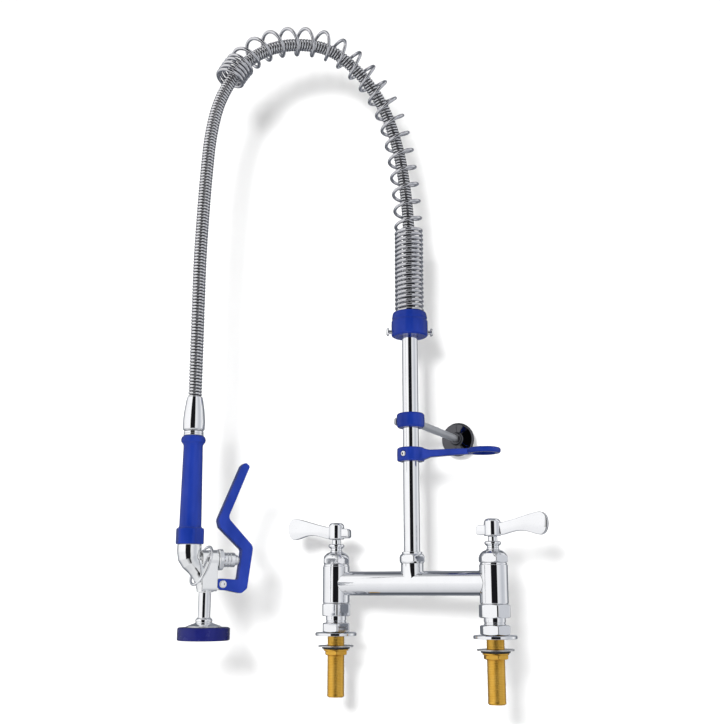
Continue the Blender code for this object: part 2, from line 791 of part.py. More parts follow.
open_shares = [open_share((k + 0.5) / STEPS_PER_TURN) for k in range(coil_steps)]
close_length = sum(1 - share for share in open_shares) * COIL_PITCH / STEPS_PER_TURN
open_length = coil_lengths[-1] - coil_low - close_length
open_pitch = open_length / sum(open_shares) * STEPS_PER_TURN
coil_radius = (COIL_D - COIL_WIRE) / 2
coil_points = []
climbed = coil_low
for k in range(coil_steps + 1):
    centre, tangent = coil_frame(climbed)
    angle = 2 * math.pi * k / STEPS_PER_TURN
    spoke = side_axis.cross(tangent) * math.cos(angle) + side_axis * math.sin(angle)
    coil_points.append(centre + spoke * coil_radius)
    if k < coil_steps:
        climbed += (COIL_PITCH + (open_pitch - COIL_PITCH) * open_shares[k]) / STEPS_PER_TURN
swept("spring", coil_points, COIL_WIRE / 2, 5, "chrome")


# ---------------------------------------------------------------- spray valve

# Local X points from the grip back to the riser, and local Z is up.
SPRAY = Matrix.Translation(OUT * REACH) @ Matrix.Rotation(heading + math.pi, 4, "Z")

low, high = FERRULE_Z
profile = [
    (10.6 * MM, low),
    (12.2 * MM, low + 1.4 * MM),
    (12.5 * MM, low + 12 * MM),
    (11.4 * MM, low + 24 * MM),
    (CRIMP_D / 2 + 1.0 * MM, high - 3.0 * MM),
    (CRIMP_D / 2, high),
    (HOSE_BORE / 2, high),
    (HOSE_BORE / 2, low),
]
turned("hose_ferrule", profile, "chrome", SPRAY, closed=True)
low = GRIP_Z[1] + GAP
high = FERRULE_Z[0] - RUN
profile = [
    (11.3 * MM, low),
    (11.3 * MM, high - 0.6 * MM),
    (10.4 * MM, high),
    (HOSE_BORE / 2, high),
    (HOSE_BORE / 2, low),
]
turned("swivel_nut", profile, "chrome", SPRAY, closed=True)

low, high = GRIP_Z
r = GRIP_D / 2
hexagon = (GRIP_HEX_AF, 15.8 * MM)
profile = [
    (0, low),
    ((GRIP_HEX_AF, 14.9 * MM), low),
    (hexagon, low + 1.0 * MM),
    (hexagon, low + 16.4 * MM),
    ((GRIP_HEX_AF, 14.6 * MM), low + 17.6 * MM),
    (r + 0.7 * MM, low + 17.6 * MM),
    (r, along(low, high, 0.5)),
    (r - 0.8 * MM, high - 10.0 * MM),
    (r + 0.6 * MM, high - 8.8 * MM),
    (r + 2.0 * MM, high - 6.4 * MM),
    (r + 2.1 * MM, high - 4.0 * MM),
    (r + 1.4 * MM, high - 1.6 * MM),
    (r - 0.2 * MM, high),
    (0, high),
]
turned("grip", profile, "blue", SPRAY)

body_top = GRIP_Z[0] - GAP
body = rod("spray_body", BODY_D / 2, (0, 0, PLUNGER_Z - 2.1 * MM), (0, 0, body_top), 24)
finish(body, "chrome")
body.matrix_world = SPRAY @ body.matrix_world
sweep_start = (-1.5 * MM, 0, body_top - 8.5 * MM)
sweep_end = (OUTLET_OFFSET + 0.6 * MM, 0, OUTLET_TOP + 9.7 * MM)
sweep = rod("sweep_tool", SWEEP_D / 2, sweep_start, sweep_end, 22)
boss_low = (OUTLET_OFFSET, 0, OUTLET_TOP)
boss_high = (OUTLET_OFFSET, 0, OUTLET_TOP + 17.6 * MM)
outlet_boss = rod("outlet_boss_tool", OUTLET_BOSS_D / 2, boss_low, boss_high, 22)
port_face = 32.0 * MM
port = rod("port_tool", PORT_D / 2, (20 * MM, 0, PLUNGER_Z), (port_face, 0, PLUNGER_Z), 24)
for tool in (sweep, outlet_boss, port):
    tool.matrix_world = SPRAY @ tool.matrix_world
block_half = BLOCK_WIDTH / 2
block_low = OUTLET_TOP + 0.6 * MM
block_high = PLUNGER_Z + 10.4 * MM
corners = [
    (-block_half, block_low, 3 * MM),
    (block_half, block_low, 3 * MM),
    (block_half, block_high, 6.4 * MM),
    (-block_half, block_high, 6.4 * MM),
]
block_place = SPRAY @ Matrix.Rotation(math.pi / 2, 4, "Z")
block = plate("block_tool", rounded(corners), -30.7 * MM, -13.0 * MM, None, block_place)
lug_end = PIVOT[0] + 6.0 * MM
lug_low = PIVOT[1] - 6.2 * MM
lug_high = PIVOT[1] + 6.2 * MM
lug_corners = [
    (28.0 * MM, lug_low, 0),
    (lug_end, lug_low, 5 * MM),
    (lug_end, lug_high, 5 * MM),
    (28.0 * MM, lug_high, 0),
]
lug_half = LUG_WIDTH / 2
lug = plate("lug_tool", rounded(lug_corners), -lug_half, lug_half, None, SPRAY)
for tool in (sweep, outlet_boss, block, port, lug):
    join(body, tool)
pin_r = PIN_D / 2
pin_side = Vector((0, LEVER_WIDTH, 0))
pin_middle = Vector((PIVOT[0], 0, PIVOT[1]))
pin_tool = rod("pin_hole_tool", pin_r + RUN, pin_middle - pin_side, pin_middle + pin_side, 16)
pin_tool.matrix_world = SPRAY @ pin_tool.matrix_world
cut(body, pin_tool)

sideways = Matrix.Translation((port_face + GAP, 0, PLUNGER_Z)) @ Matrix.Rotation(math.pi / 2, 4, "Y")
guide = PLUNGER_D / 2 + RUN
guide_r = guide + GUIDE_WALL
guide_end = 19.7 * MM
profile = [
    (0, 0),
    ((GUIDE_AF, 0.50 * GUIDE_AF), 0),
    ((GUIDE_AF, 0.54 * GUIDE_AF), 1.0 * MM),
    ((GUIDE_AF, 0.54 * GUIDE_AF), 4.2 * MM),
    ((GUIDE_AF, 0.49 * GUIDE_AF), 5.2 * MM),
    (guide_r, 5.2 * MM),
    (guide_r, 10.4 * MM),
    (guide_r - 0.8 * MM, 11.0 * MM),
    (guide_r - 0.8 * MM, 12.2 * MM),
    (guide_r, 12.8 * MM),
    (guide_r, guide_end - 1.9 * MM),
    (guide_r - 1.0 * MM, guide_end),
    (guide, guide_end),
    (guide, 2.4 * MM),
    (0, 2.4 * MM),
]
turned("plunger_guide", profile, "chrome", SPRAY @ sideways)
plunger_in = 8.4 * MM
plunger_out = 24.6 * MM
r = PLUNGER_D / 2
profile = [
    (0, 0),
    (r, 0),
    (r, plunger_out - plunger_in - 1.6 * MM),
    (0.72 * r, plunger_out - plunger_in - 0.5 * MM),
    (0, plunger_out - plunger_in),
]
turned("plunger", profile, "chrome", SPRAY @ sideways @ Matrix.Translation((0, 0, plunger_in)), 20)

lever_corners = [
    (31.2, 54.8, 5.8),
    (43.0, 54.2, 0),
    (58.5, 50.9, 3),
    (65.2, 56.0, 4),
    (71.3, 102.6, 7),
    (41.6, 133.9, 5),
    (65.4, 193.0, 2.6),
    (60.0, 197.4, 2.6),
    (56.0, 193.4, 2.6),
    (30.5, 131.6, 5),
    (32.6, 123.2, 5),
    (58.9, 98.7, 3),
    (55.2, 65.7, 2),
    (44.2, 66.6, 0),
    (37.2, 66.9, 5.4),
    (31.2, 66.9, 5.8),
]
lever_outline = [(x * MM - PIVOT[0], z * MM - PIVOT[1]) for x, z in rounded(lever_corners)]
lever_place = SPRAY @ Matrix.Translation((PIVOT[0], 0, PIVOT[1]))
half = LEVER_WIDTH / 2
lever = plate("lever", lever_outline, -half, half, "blue", lever_place)
slot = lug_half + RUN
cut(lever, box("lever_slot_tool", (-9 * MM, -slot, -9 * MM), (7.2 * MM, slot, 9 * MM), lever_place))
cut(lever, pin_tool)
pin_place = lever_place @ Matrix.Rotation(math.pi / 2, 4, "X")
shoulder = half + GAP
profile = [
    (0, -shoulder - 1.2 * MM),
    (3.6 * MM, -shoulder - 1.2 * MM),
    (3.6 * MM, -shoulder),
    (pin_r, -shoulder),
    (pin_r, shoulder),
    (4.2 * MM, shoulder),
    (3.6 * MM, shoulder + 1.4 * MM),
    (0, shoulder + 1.4 * MM),
]
turned("lever_pin", profile, "steel", pin_place, 16)

ring_top = Vector((RING_TOP[0], 0, RING_TOP[1]))
ring_bottom = Vector((RING_BOTTOM[0], 0, RING_BOTTOM[1]))
ring_middle = (ring_top + ring_bottom) / 2
ring_points = []
RING_STEPS = 28
for k in range(RING_STEPS):
    angle = 2 * math.pi * k / RING_STEPS
    across = Vector((0, (RING_WIDTH / 2 - RING_WIRE / 2) * math.sin(angle), 0))
    ring_points.append(ring_middle + (ring_top - ring_middle) * math.cos(angle) + across - ring_top)
ring_place = SPRAY @ Matrix.Translation(ring_top) @ Matrix.Rotation(RING_YAW, 4, "Z")
swept("hold_ring", ring_points, RING_WIRE / 2, 6, "chrome", ring_place, closed=True)

OUTLET = SPRAY @ Matrix.Translation((OUTLET_OFFSET, 0, 0))
low, high = BUMPER_Z
profile = [
    (FACE_D / 2, high + GAP),
    (FACE_D / 2, high + 1.2 * MM),
    (13.0 * MM, high + 3.6 * MM),
    (9.0 * MM, high + 5.2 * MM),
    (9.4 * MM, high + 7.2 * MM),
    (8.6 * MM, high + 9.0 * MM),
    (OUTLET_D / 2, high + 9.6 * MM),
    (OUTLET_D / 2, OUTLET_TOP - GAP),
    (HOSE_BORE / 2, OUTLET_TOP - GAP),
    (HOSE_BORE / 2, high + GAP),
]
turned("outlet_tube", profile, "chrome", OUTLET, closed=True)
r = BUMPER_D / 2
profile = [
    (r - 1.2 * MM, low),
    (r, low + 1.2 * MM),
    (r, high - 1.4 * MM),
    (r - 1.4 * MM, high),
    (10.0 * MM, high),
    (10.0 * MM, high - 3.0 * MM),
    (FACE_D / 2 + 0.8 * MM, high - 3.0 * MM),
    (FACE_D / 2 + 2.8 * MM, low),
]
turned("bumper", profile, "blue", OUTLET, 28, closed=True)
face_high = high - 3.0 * MM - GAP
profile = [
    (0, face_high - 4.0 * MM),
    (0.78 * FACE_D / 2, face_high - 4.0 * MM),
    (FACE_D / 2, face_high - 1.6 * MM),
    (FACE_D / 2, face_high),
    (0, face_high),
]
turned("spray_face", profile, "chrome", OUTLET)
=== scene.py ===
"""Pre-rinse faucet: fine surfaces, materials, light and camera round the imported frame. Metres, +Z up."""

import bisect
import math

import bmesh
import bpy
from mathutils import Matrix, Vector


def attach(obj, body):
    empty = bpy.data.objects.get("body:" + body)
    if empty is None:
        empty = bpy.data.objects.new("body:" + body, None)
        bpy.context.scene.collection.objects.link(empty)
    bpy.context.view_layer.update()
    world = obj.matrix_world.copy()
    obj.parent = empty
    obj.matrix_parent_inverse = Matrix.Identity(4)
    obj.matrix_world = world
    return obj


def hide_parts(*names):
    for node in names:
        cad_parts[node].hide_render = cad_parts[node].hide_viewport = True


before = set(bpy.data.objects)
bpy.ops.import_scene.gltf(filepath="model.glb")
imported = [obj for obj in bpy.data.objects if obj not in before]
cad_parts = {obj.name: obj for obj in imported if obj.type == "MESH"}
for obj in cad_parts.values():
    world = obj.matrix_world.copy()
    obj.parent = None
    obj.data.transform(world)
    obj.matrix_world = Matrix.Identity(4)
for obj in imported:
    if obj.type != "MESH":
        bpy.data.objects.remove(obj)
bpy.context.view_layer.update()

MM = 0.001  # shapes are worked out in millimetres, and scaled as they become meshes
UP = Vector((0, 0, 1))
X_AXIS = Matrix.Rotation(math.pi / 2, 4, "Y")  # turns a shape made along Z to lie along X
HOLD = 0.15  # from a fillet to the ring that keeps the next flat flat


# ---------------------------------------------------------------- sizes read from the frame


def span(node, place=Matrix()):
    """Lowest and highest corner of a CAD node in millimetres, seen from a placed frame."""
    inverse = place.inverted()
    points = [inverse @ (v.co / MM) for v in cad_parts[node].data.vertices]
    low = Vector([min(p[i] for p in points) for i in range(3)])
    high = Vector([max(p[i] for p in points) for i in range(3)])
    return low, high


def middle(node, place=Matrix()):
    low, high = span(node, place)
    return (low + high) / 2


GRIP_AXIS = middle("grip")
REACH = Vector((GRIP_AXIS.x, GRIP_AXIS.y, 0)).length
OUT = Vector((GRIP_AXIS.x, GRIP_AXIS.y, 0)).normalized()
HEADING = math.atan2(OUT.y, OUT.x)
SIDE = OUT.cross(UP)
# The spray valve's own frame: X points back to the riser, and Z is up.
SPRAY = Matrix.Translation(OUT * REACH) @ Matrix.Rotation(HEADING + math.pi, 4, "Z")


# ---------------------------------------------------------------- camera

CAMERA_AZIMUTH = math.radians(24.5)
CAMERA_HEIGHT = 0.055
CAMERA_PITCH = math.radians(12.69)
CAMERA_RANGE = 1.243  # along the heading, to the riser's axis
RISER_OFFSET = 0.0611  # the riser stands this far right of the camera's axis
LENS = 50.27


def make_camera():
    forward = Vector((-math.sin(CAMERA_AZIMUTH), math.cos(CAMERA_AZIMUTH), 0))
    right = Vector((math.cos(CAMERA_AZIMUTH), math.sin(CAMERA_AZIMUTH), 0))
    data = bpy.data.cameras.new("camera")
    data.lens = LENS
    data.sensor_width = 36
    camera = bpy.data.objects.new("camera", data)
    camera.location = UP * CAMERA_HEIGHT - forward * CAMERA_RANGE - right * RISER_OFFSET
    camera.rotation_euler = (math.pi / 2 + CAMERA_PITCH, 0, CAMERA_AZIMUTH)
    bpy.context.scene.collection.objects.link(camera)
    bpy.context.scene.camera = camera
    return camera, forward, right


CAMERA, FORWARD, RIGHT = make_camera()


# ---------------------------------------------------------------- mesh helpers


def from_bmesh(name, shape, sharp=None, place=Matrix()):
    """A smooth-shaded scene object made of this closed shape, which is in millimetres."""
    bmesh.ops.recalc_face_normals(shape, faces=shape.faces)
    mesh = bpy.data.meshes.new(name)
    shape.to_mesh(mesh)
    shape.free()
    mesh.transform(Matrix.Scale(MM, 4) @ place)
    mesh.shade_smooth()
    if sharp is not None:
        mesh.set_sharp_from_angle(angle=math.radians(sharp))
    obj = bpy.data.objects.new(name, mesh)
    bpy.context.scene.collection.objects.link(obj)
    return obj


def bridge_rings(shape, rings, closed):
    """Skins a list of vertex rings. A ring of one vertex is a tip."""
    pairs = list(zip(rings, rings[1:]))
    if closed:
        pairs.append((rings[-1], rings[0]))
    for low, high in pairs:
        count = max(len(low), len(high))
        for i in range(count):
            j = (i + 1) % count
            corners = []
            for ring, index in ((low, i), (low, j), (high, j), (high, i)):
                vertex = ring[index % len(ring)]
                if vertex not in corners:
                    corners.append(vertex)
            if len(corners) > 2:
                shape.faces.new(corners)


def soften(profile, fillet, closed, steps=4):
    """Rounds the corners of (radius, height) pairs. A third number is that corner's own fillet."""
    soft = []
    count = len(profile)
    for i, point in enumerate(profile):
        here = Vector(point[:2])
        size = point[2] if len(point) > 2 else fillet
        if size == 0 or (not closed and i in (0, count - 1)):
            soft.append(here)
            continue
        before = Vector(profile[i - 1][:2]) - here
        after = Vector(profile[(i + 1) % count][:2]) - here
        half = before.angle(after) / 2
        room = 0.45 * min(before.length, after.length)
        back = min(size / math.tan(half), room)
        if half > 1.52:
            soft.append(here)
            continue
        radius = back * math.tan(half)
        before.normalize()
        after.normalize()
        centre = here + (before + after).normalized() * radius / math.sin(half)
        start = here + before * back - centre
        end = here + after * back - centre
        if back + HOLD < room:
            soft.append(here + before * (back + HOLD))
        for k in range(steps + 1):
            soft.append(centre + start.lerp(end, k / steps).normalized() * radius)
        if back + HOLD < room:
            soft.append(here + after * (back + HOLD))
    return soft


FLAT_FORWARD = Matrix.Rotation(math.pi / 6, 4, "Z")  # turns one flat of a hexagon to the front
HEX_ANGLES = [60 * sector + step for sector in range(6) for step in
              (-30, -29, -27.5, -25, -22, -19, -16, -12, -8, -4, 0, 4, 8, 12, 16, 19, 22, 25, 27.5, 29)]


def turned(name, profile, place=Matrix(), closed=False, fillet=0.4, sides=96, flats=None, sharp=None):
    """A solid turned about Z. flats is (across flats, low, high), and cuts a hexagon between two heights."""
    shape = bmesh.new()
    angles = HEX_ANGLES if flats else [360 * i / sides for i in range(sides)]
    rings = []
    for radius, height in soften(profile, fillet, closed):
        if radius < 1e-4:
            rings.append([shape.verts.new((0, 0, height))])
            continue
        ring = []
        for degrees in angles:
            r = radius
            if flats and flats[1] <= height <= flats[2]:
                off_flat = math.radians((degrees + 30) % 60 - 30)
                r = min(r, flats[0] / 2 / math.cos(off_flat))
            a = math.radians(degrees)
            ring.append(shape.verts.new((r * math.cos(a), r * math.sin(a), height)))
        rings.append(ring)
    if not closed:
        for ring in (rings[0], rings[-1]):
            if len(ring) > 1:
                shape.faces.new(ring)
    bridge_rings(shape, rings, closed)
    return from_bmesh(name, shape, sharp, place)


def chamfered(across_flats, low, high, bore, bulge=0.985, steps=8):
    """The closed profile of a hexagon nut whose corners are turned down in a curve at both ends."""
    flat = across_flats / 2
    corner = across_flats / math.sqrt(3) * bulge
    depth = (corner - flat) * 0.75
    outer = []
    for k in range(steps + 1):
        t = k / steps
        outer.append((flat * 0.97 + (corner - flat * 0.97) * math.sin(t * math.pi / 2), low + depth * t, 0))
    top = [(r, low + high - z, 0) for r, z, _ in reversed(outer)]
    return outer + top + [(bore, high), (bore, low)]


def swept(name, points, radius, sides, closed=False, place=Matrix()):
    """A round wire through the points, without twist."""
    shape = bmesh.new()
    count = len(points)
    rings = []
    normal = None
    for i, point in enumerate(points):
        ahead = points[(i + 1) % count] if closed else points[min(i + 1, count - 1)]
        behind = points[i - 1] if closed else points[max(i - 1, 0)]
        tangent = (ahead - behind).normalized()
        if normal is None:
            normal = tangent.orthogonal()
        normal = (normal - tangent * normal.dot(tangent)).normalized()
        side = tangent.cross(normal)
        size = radius(i) if callable(radius) else radius
        ring = []
        for k in range(sides):
            angle = 2 * math.pi * k / sides
            r = size(k / sides) if callable(size) else size
            ring.append(shape.verts.new(point + (normal * math.cos(angle) + side * math.sin(angle)) * r))
        rings.append(ring)
    if not closed:
        shape.faces.new(rings[0])
        shape.faces.new(rings[-1])
    bridge_rings(shape, rings, closed)
    return from_bmesh(name, shape, 50, place)


def plate(name, outline, low, high, place=Matrix()):
    """A flat outline in local X and Z, from Y = low to Y = high."""
    shape = bmesh.new()
    rings = [[shape.verts.new((x, y, z)) for x, z in outline] for y in (low, high)]
    shape.faces.new(rings[0])
    shape.faces.new(rings[1])
    bridge_rings(shape, rings, False)
    return from_bmesh(name, shape, None, place)


def rounded(corners, steps=8):
    """The outline through (x, z, fillet radius) corners."""
    outline = []
    for point in soften(corners, 0, True, steps):
        if not outline or (point - outline[-1]).length > 0.05:
            outline.append(point)
    return [tuple(p) for p in outline]


def rod(name, radius, start, end, place=Matrix(), sides=64):
    axis = Vector(end) - Vector(start)
    profile = [(0, 0), (radius, 0), (radius, axis.length), (0, axis.length)]
    return turned(name, profile, place @ aimed(start, axis), fillet=0, sides=sides)


def aimed(start, direction):
    """A place whose Z axis points along the direction."""
    return Matrix.Translation(start) @ direction.to_track_quat("Z", "Y").to_matrix().to_4x4()


def apply_modifiers(obj):
    graph = bpy.context.evaluated_depsgraph_get()
    graph.update()
    mesh = bpy.data.meshes.new_from_object(obj.evaluated_get(graph))
    obj.modifiers.clear()
    old = obj.data
    obj.data = mesh
    bpy.data.meshes.remove(old)
    mesh.name = obj.name
    return obj


def boolean(obj, tools, operation, sharp=30):
    for tool in tools:
        modifier = obj.modifiers.new("boolean", "BOOLEAN")
        modifier.operation = operation
        modifier.solver = "EXACT"
        modifier.object = tool
    apply_modifiers(obj)
    for tool in tools:
        bpy.data.objects.remove(tool)
    obj.data.shade_smooth()
    obj.data.set_sharp_from_angle(angle=math.radians(sharp))
    return obj


def cut(obj, *tools):
    return boolean(obj, tools, "DIFFERENCE")


def join(obj, *tools):
    return boolean(obj, tools, "UNION")


def moulded(obj, voxel, smooth):
    """Remeshes a union into one skin and melts its inner corners, as a casting or moulding has them."""
    remesh = obj.modifiers.new("remesh", "REMESH")
    remesh.mode = "VOXEL"
    remesh.voxel_size = voxel * MM
    remesh.adaptivity = 0
    melt = obj.modifiers.new("melt", "SMOOTH")
    melt.factor = 0.5
    melt.iterations = smooth
    apply_modifiers(obj)
    obj.data.shade_smooth()
    return obj


def bevelled(obj, width, segments=3, angle=40):
    bevel = obj.modifiers.new("bevel", "BEVEL")
    bevel.width = width * MM
    bevel.segments = segments
    bevel.limit_method = "ANGLE"
    bevel.angle_limit = math.radians(angle)
    bevel.harden_normals = False
    apply_modifiers(obj)
    obj.data.shade_smooth()
    weighted = obj.modifiers.new("weighted", "WEIGHTED_NORMAL")
    weighted.keep_sharp = True
    return apply_modifiers(obj)


def merged(name, objects):
    """One object holding several meshes that touch, such as a head and its shank."""
    shape = bmesh.new()
    for obj in objects:
        shape.from_mesh(obj.data)
        bpy.data.objects.remove(obj)
    mesh = bpy.data.meshes.new(name)
    shape.to_mesh(mesh)
    shape.free()
    obj = bpy.data.objects.new(name, mesh)
    bpy.context.scene.collection.objects.link(obj)
    return obj


def smoothstep(low, high, value):
    t = min(max((value - low) / (high - low), 0.0), 1.0)
    return t * t * (3 - 2 * t)


# ---------------------------------------------------------------- materials


class Nodes:
    """Short calls for building a node tree."""

    def __init__(self, tree):
        self.tree = tree

    def add(self, kind, **values):
        node = self.tree.nodes.new(kind)
        for key, value in values.items():
            setattr(node, key, value)
        return node

    def link(self, output, target):
        self.tree.links.new(output, target)

    def math(self, operation, *values):
        node = self.add("ShaderNodeMath", operation=operation)
        for socket, value in zip(node.inputs, values):
            if isinstance(value, (int, float)):
                socket.default_value = value
            else:
                self.link(value, socket)
        return node.outputs["Value"]


class Finish(Nodes):
    """A material, with short calls for what feeds its shader."""

    def __init__(self, name, **shader_values):
        self.material = bpy.data.materials.new(name)
        self.material.use_nodes = True
        super().__init__(self.material.node_tree)
        self.shader = self.tree.nodes["Principled BSDF"]
        for socket, value in shader_values.items():
            self.shader.inputs[socket.replace("_", " ")].default_value = value
        self.place = self.add("ShaderNodeTexCoord").outputs["Object"]

    def noise(self, scale, detail=4.0, stretch=(1, 1, 1), roughness=0.55):
        mapping = self.add("ShaderNodeMapping")
        mapping.inputs["Scale"].default_value = stretch
        self.link(self.place, mapping.inputs["Vector"])
        node = self.add("ShaderNodeTexNoise")
        node.inputs["Scale"].default_value = scale
        node.inputs["Detail"].default_value = detail
        node.inputs["Roughness"].default_value = roughness
        self.link(mapping.outputs["Vector"], node.inputs["Vector"])
        return node.outputs["Fac"]

    def ramp(self, value, stops):
        node = self.add("ShaderNodeValToRGB")
        elements = node.color_ramp.elements
        while len(elements) < len(stops):
            elements.new(0.5)
        for element, (position, colour) in zip(elements, stops):
            element.position = position
            element.color = (*colour, 1) if isinstance(colour, tuple) else (colour, colour, colour, 1)
        self.link(value, node.inputs["Fac"])
        return node.outputs["Color"]

    def mix(self, share, a, b):
        node = self.add("ShaderNodeMix", data_type="RGBA")
        for socket, value in zip((node.inputs["Factor"], node.inputs["A"], node.inputs["B"]),
                                 (share, a, b)):
            if isinstance(value, tuple):
                socket.default_value = (*value, 1)
            elif isinstance(value, (int, float)):
                socket.default_value = value
            else:
                self.link(value, socket)
        return node.outputs["Result"]

    def bump(self, height, strength, distance):
        node = self.add("ShaderNodeBump")
        node.inputs["Strength"].default_value = strength
        node.inputs["Distance"].default_value = distance * MM
        self.link(height, node.inputs["Height"])
        self.link(node.outputs["Normal"], self.shader.inputs["Normal"])

    def edges(self, low, high):
        """0 on flats and hollows, 1 on sharp outer edges, which the plastic lights with a painted highlight.
        """
        pointiness = self.add("ShaderNodeNewGeometry").outputs["Pointiness"]
        return self.ramp(pointiness, [(low, 0.0), (high, 1.0)])


def plated(name, colour, low_rough, high_rough, ripple):
    """Polished plate: faint smears and fine scratches in its gloss, and a slight ripple."""
    n = Finish(name, Metallic=1.0, Specular_IOR_Level=0.5)
    smears = n.noise(38, 5)
    scratches = n.noise(420, 3, (1, 1, 6))
    n.link(n.mix(n.ramp(smears, [(0.35, 0.0), (0.7, 1.0)]), colour, tuple(c * 0.965 for c in colour)),
           n.shader.inputs["Base Color"])
    mixed = n.math("ADD", n.math("MULTIPLY", smears, 0.8), n.math("MULTIPLY", scratches, 0.2))
    rough = n.ramp(mixed, [(0.35, low_rough), (0.72, high_rough)])
    n.link(rough, n.shader.inputs["Roughness"])
    n.bump(n.math("ADD", n.noise(55, 2), n.math("MULTIPLY", scratches, 0.05)), ripple, 0.1)
    return n.material


def moulded_plastic(name, colour, low_rough, high_rough, scale=900):
    """Satin plastic: a fine grain, faint flow marks, and a painted highlight that makes its outer edges
    paler.
    """
    n = Finish(name, Metallic=0.0, IOR=1.27)
    flow = n.noise(30, 4, (1, 1, 0.35))
    deep = tuple(c * 0.80 for c in colour)
    pale = tuple(min(1.0, c * 1.25 + 0.01) for c in colour)
    body = n.mix(n.ramp(flow, [(0.32, 0.0), (0.68, 1.0)]), deep, pale)
    # Painted highlight: outer edges are made paler in the colour itself, as if light caught them.
    painted_edge_highlight = tuple(min(1.0, c * 1.5 + 0.006) for c in colour)
    n.link(n.mix(n.math("MULTIPLY", n.edges(0.54, 0.66), 0.5), body, painted_edge_highlight), n.shader.inputs["Base Color"])
    grain = n.noise(scale, 3)
    n.link(n.ramp(n.noise(120, 4), [(0.35, low_rough), (0.7, high_rough)]), n.shader.inputs["Roughness"])
    n.bump(grain, 0.12, 0.05)
    return n.material


def machined_brass(name):
    """Plain brass, turned: fine rings round the axis, and painted shade that darkens its hollows."""
    n = Finish(name, Metallic=1.0)
    blotches = n.noise(85, 5)
    base = n.mix(n.ramp(blotches, [(0.3, 0.0), (0.75, 1.0)]), (0.80, 0.44, 0.060), (0.92, 0.56, 0.11))
    # Painted shade: hollows such as the thread grooves are darkened towards deep brown in the colour.
    hollow_shade = n.ramp(n.add("ShaderNodeNewGeometry").outputs["Pointiness"], [(0.42, 1.0), (0.52, 0.0)])
    n.link(n.mix(n.math("MULTIPLY", hollow_shade, 0.45), base, (0.36, 0.17, 0.02)), n.shader.inputs["Base Color"])
    rings = n.noise(60, 3, (1, 1, 40))
    n.link(n.ramp(n.math("ADD", n.math("MULTIPLY", rings, 0.6), n.math("MULTIPLY", blotches, 0.4)),
                  [(0.3, 0.34), (0.75, 0.50)]), n.shader.inputs["Roughness"])
    n.bump(rings, 0.25, 0.06)
    return n.material


def drawn_steel(name, colour, low_rough, high_rough, shade_depth):
    """Plain or drawn stainless: a brushed grain, and painted shade that darkens the hollows."""
    n = Finish(name, Metallic=1.0)
    grain = n.noise(700, 3, (1, 1, 4))
    patches = n.noise(70, 4)
    # Painted shade: hollows are darkened towards near black, by the share the last argument gives.
    hollow_shade = n.ramp(n.add("ShaderNodeNewGeometry").outputs["Pointiness"], [(0.40, 1.0), (0.50, 0.0)])
    base = n.mix(n.ramp(patches, [(0.3, 0.0), (0.7, 1.0)]), tuple(c * 0.9 for c in colour), colour)
    n.link(n.mix(n.math("MULTIPLY", hollow_shade, shade_depth), base, (0.10, 0.10, 0.105)),
           n.shader.inputs["Base Color"])
    n.link(n.ramp(n.math("ADD", n.math("MULTIPLY", grain, 0.5), n.math("MULTIPLY", patches, 0.5)),
                  [(0.35, low_rough), (0.65, high_rough)]), n.shader.inputs["Roughness"])
    n.bump(grain, 0.15, 0.04)
    return n.material


def rubber(name, colour):
    """Matt rubber with a fine grain and a little dust."""
    n = Finish(name, Metallic=0.0, IOR=1.5)
    dust = n.ramp(n.noise(140, 5), [(0.5, 0.0), (0.75, 0.35)])
    n.link(n.mix(dust, colour, tuple(c * 2.2 + 0.02 for c in colour)), n.shader.inputs["Base Color"])
    n.link(n.ramp(n.noise(300, 3), [(0.3, 0.55), (0.7, 0.75)]), n.shader.inputs["Roughness"])
    n.bump(n.noise(1200, 2), 0.2, 0.05)
    return n.material


CHROME = plated("chrome", (0.86, 0.865, 0.885), 0.035, 0.085, 0.02)
CAST_CHROME = plated("cast_chrome", (0.90, 0.905, 0.91), 0.06, 0.12, 0.05)
WIRE = plated("wire_chrome", (0.62, 0.62, 0.645), 0.07, 0.13, 0.05)
HOSE_STEEL = drawn_steel("hose_steel", (0.74, 0.74, 0.76), 0.12, 0.22, 0.3)
# Painted shade: a near-black steel for the hose's groove faces, where the ribs shade them.
HOSE_GROOVE_SHADE = drawn_steel("hose_groove_shade", (0.07, 0.07, 0.075), 0.30, 0.42, 0.5)
STEEL = drawn_steel("plain_steel", (0.62, 0.62, 0.63), 0.22, 0.40, 0.4)
BRASS = machined_brass("brass")
BLUE = moulded_plastic("blue_plastic", (0.003, 0.019, 0.185), 0.15, 0.22)
BLUE_RUBBER = moulded_plastic("blue_rubber", (0.001, 0.003, 0.078), 0.20, 0.30, 1300)
BLACK_RUBBER = rubber("black_rubber", (0.016, 0.016, 0.017))
ARM_METAL = plated("arm_metal", (0.80, 0.81, 0.83), 0.42, 0.52, 0.03)
# Painted shade: chrome darkened almost to black, for chrome that lies in shade, as the wall rose does.
SHADED_CHROME = plated("shaded_chrome", (0.10, 0.10, 0.11), 0.05, 0.10, 0.05)


def settle(obj, body, slot, material, *nodes):
    """Paints a finished piece and lets it ride on its body in place of these CAD nodes."""
    obj.data.materials.clear()
    obj.data.materials.append(material)
    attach(obj, body)
    if nodes:
        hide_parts(*nodes)
    return obj


def chromed(obj, node, body="base"):
    return settle(obj, body, "chrome", CHROME, node)


def sleeve(name, node, bore, place, fillet):
    """A plain ring as wide and as tall as the node."""
    low, high = span(node)
    r = (high.x - low.x) / 2
    return turned(name, [(bore, low.z), (r, low.z), (r, high.z), (bore, high.z)], place, True, fillet)


def hexagon_nut(name, node, bore, place, bulge=0.985):
    low, high = span(node)
    af = high.y - low.y
    return turned(name, chamfered(af, low.z, high.z, bore, bulge), place @ FLAT_FORWARD, True, 0,
                  flats=(af, low.z - 1, high.z + 1), sharp=25)


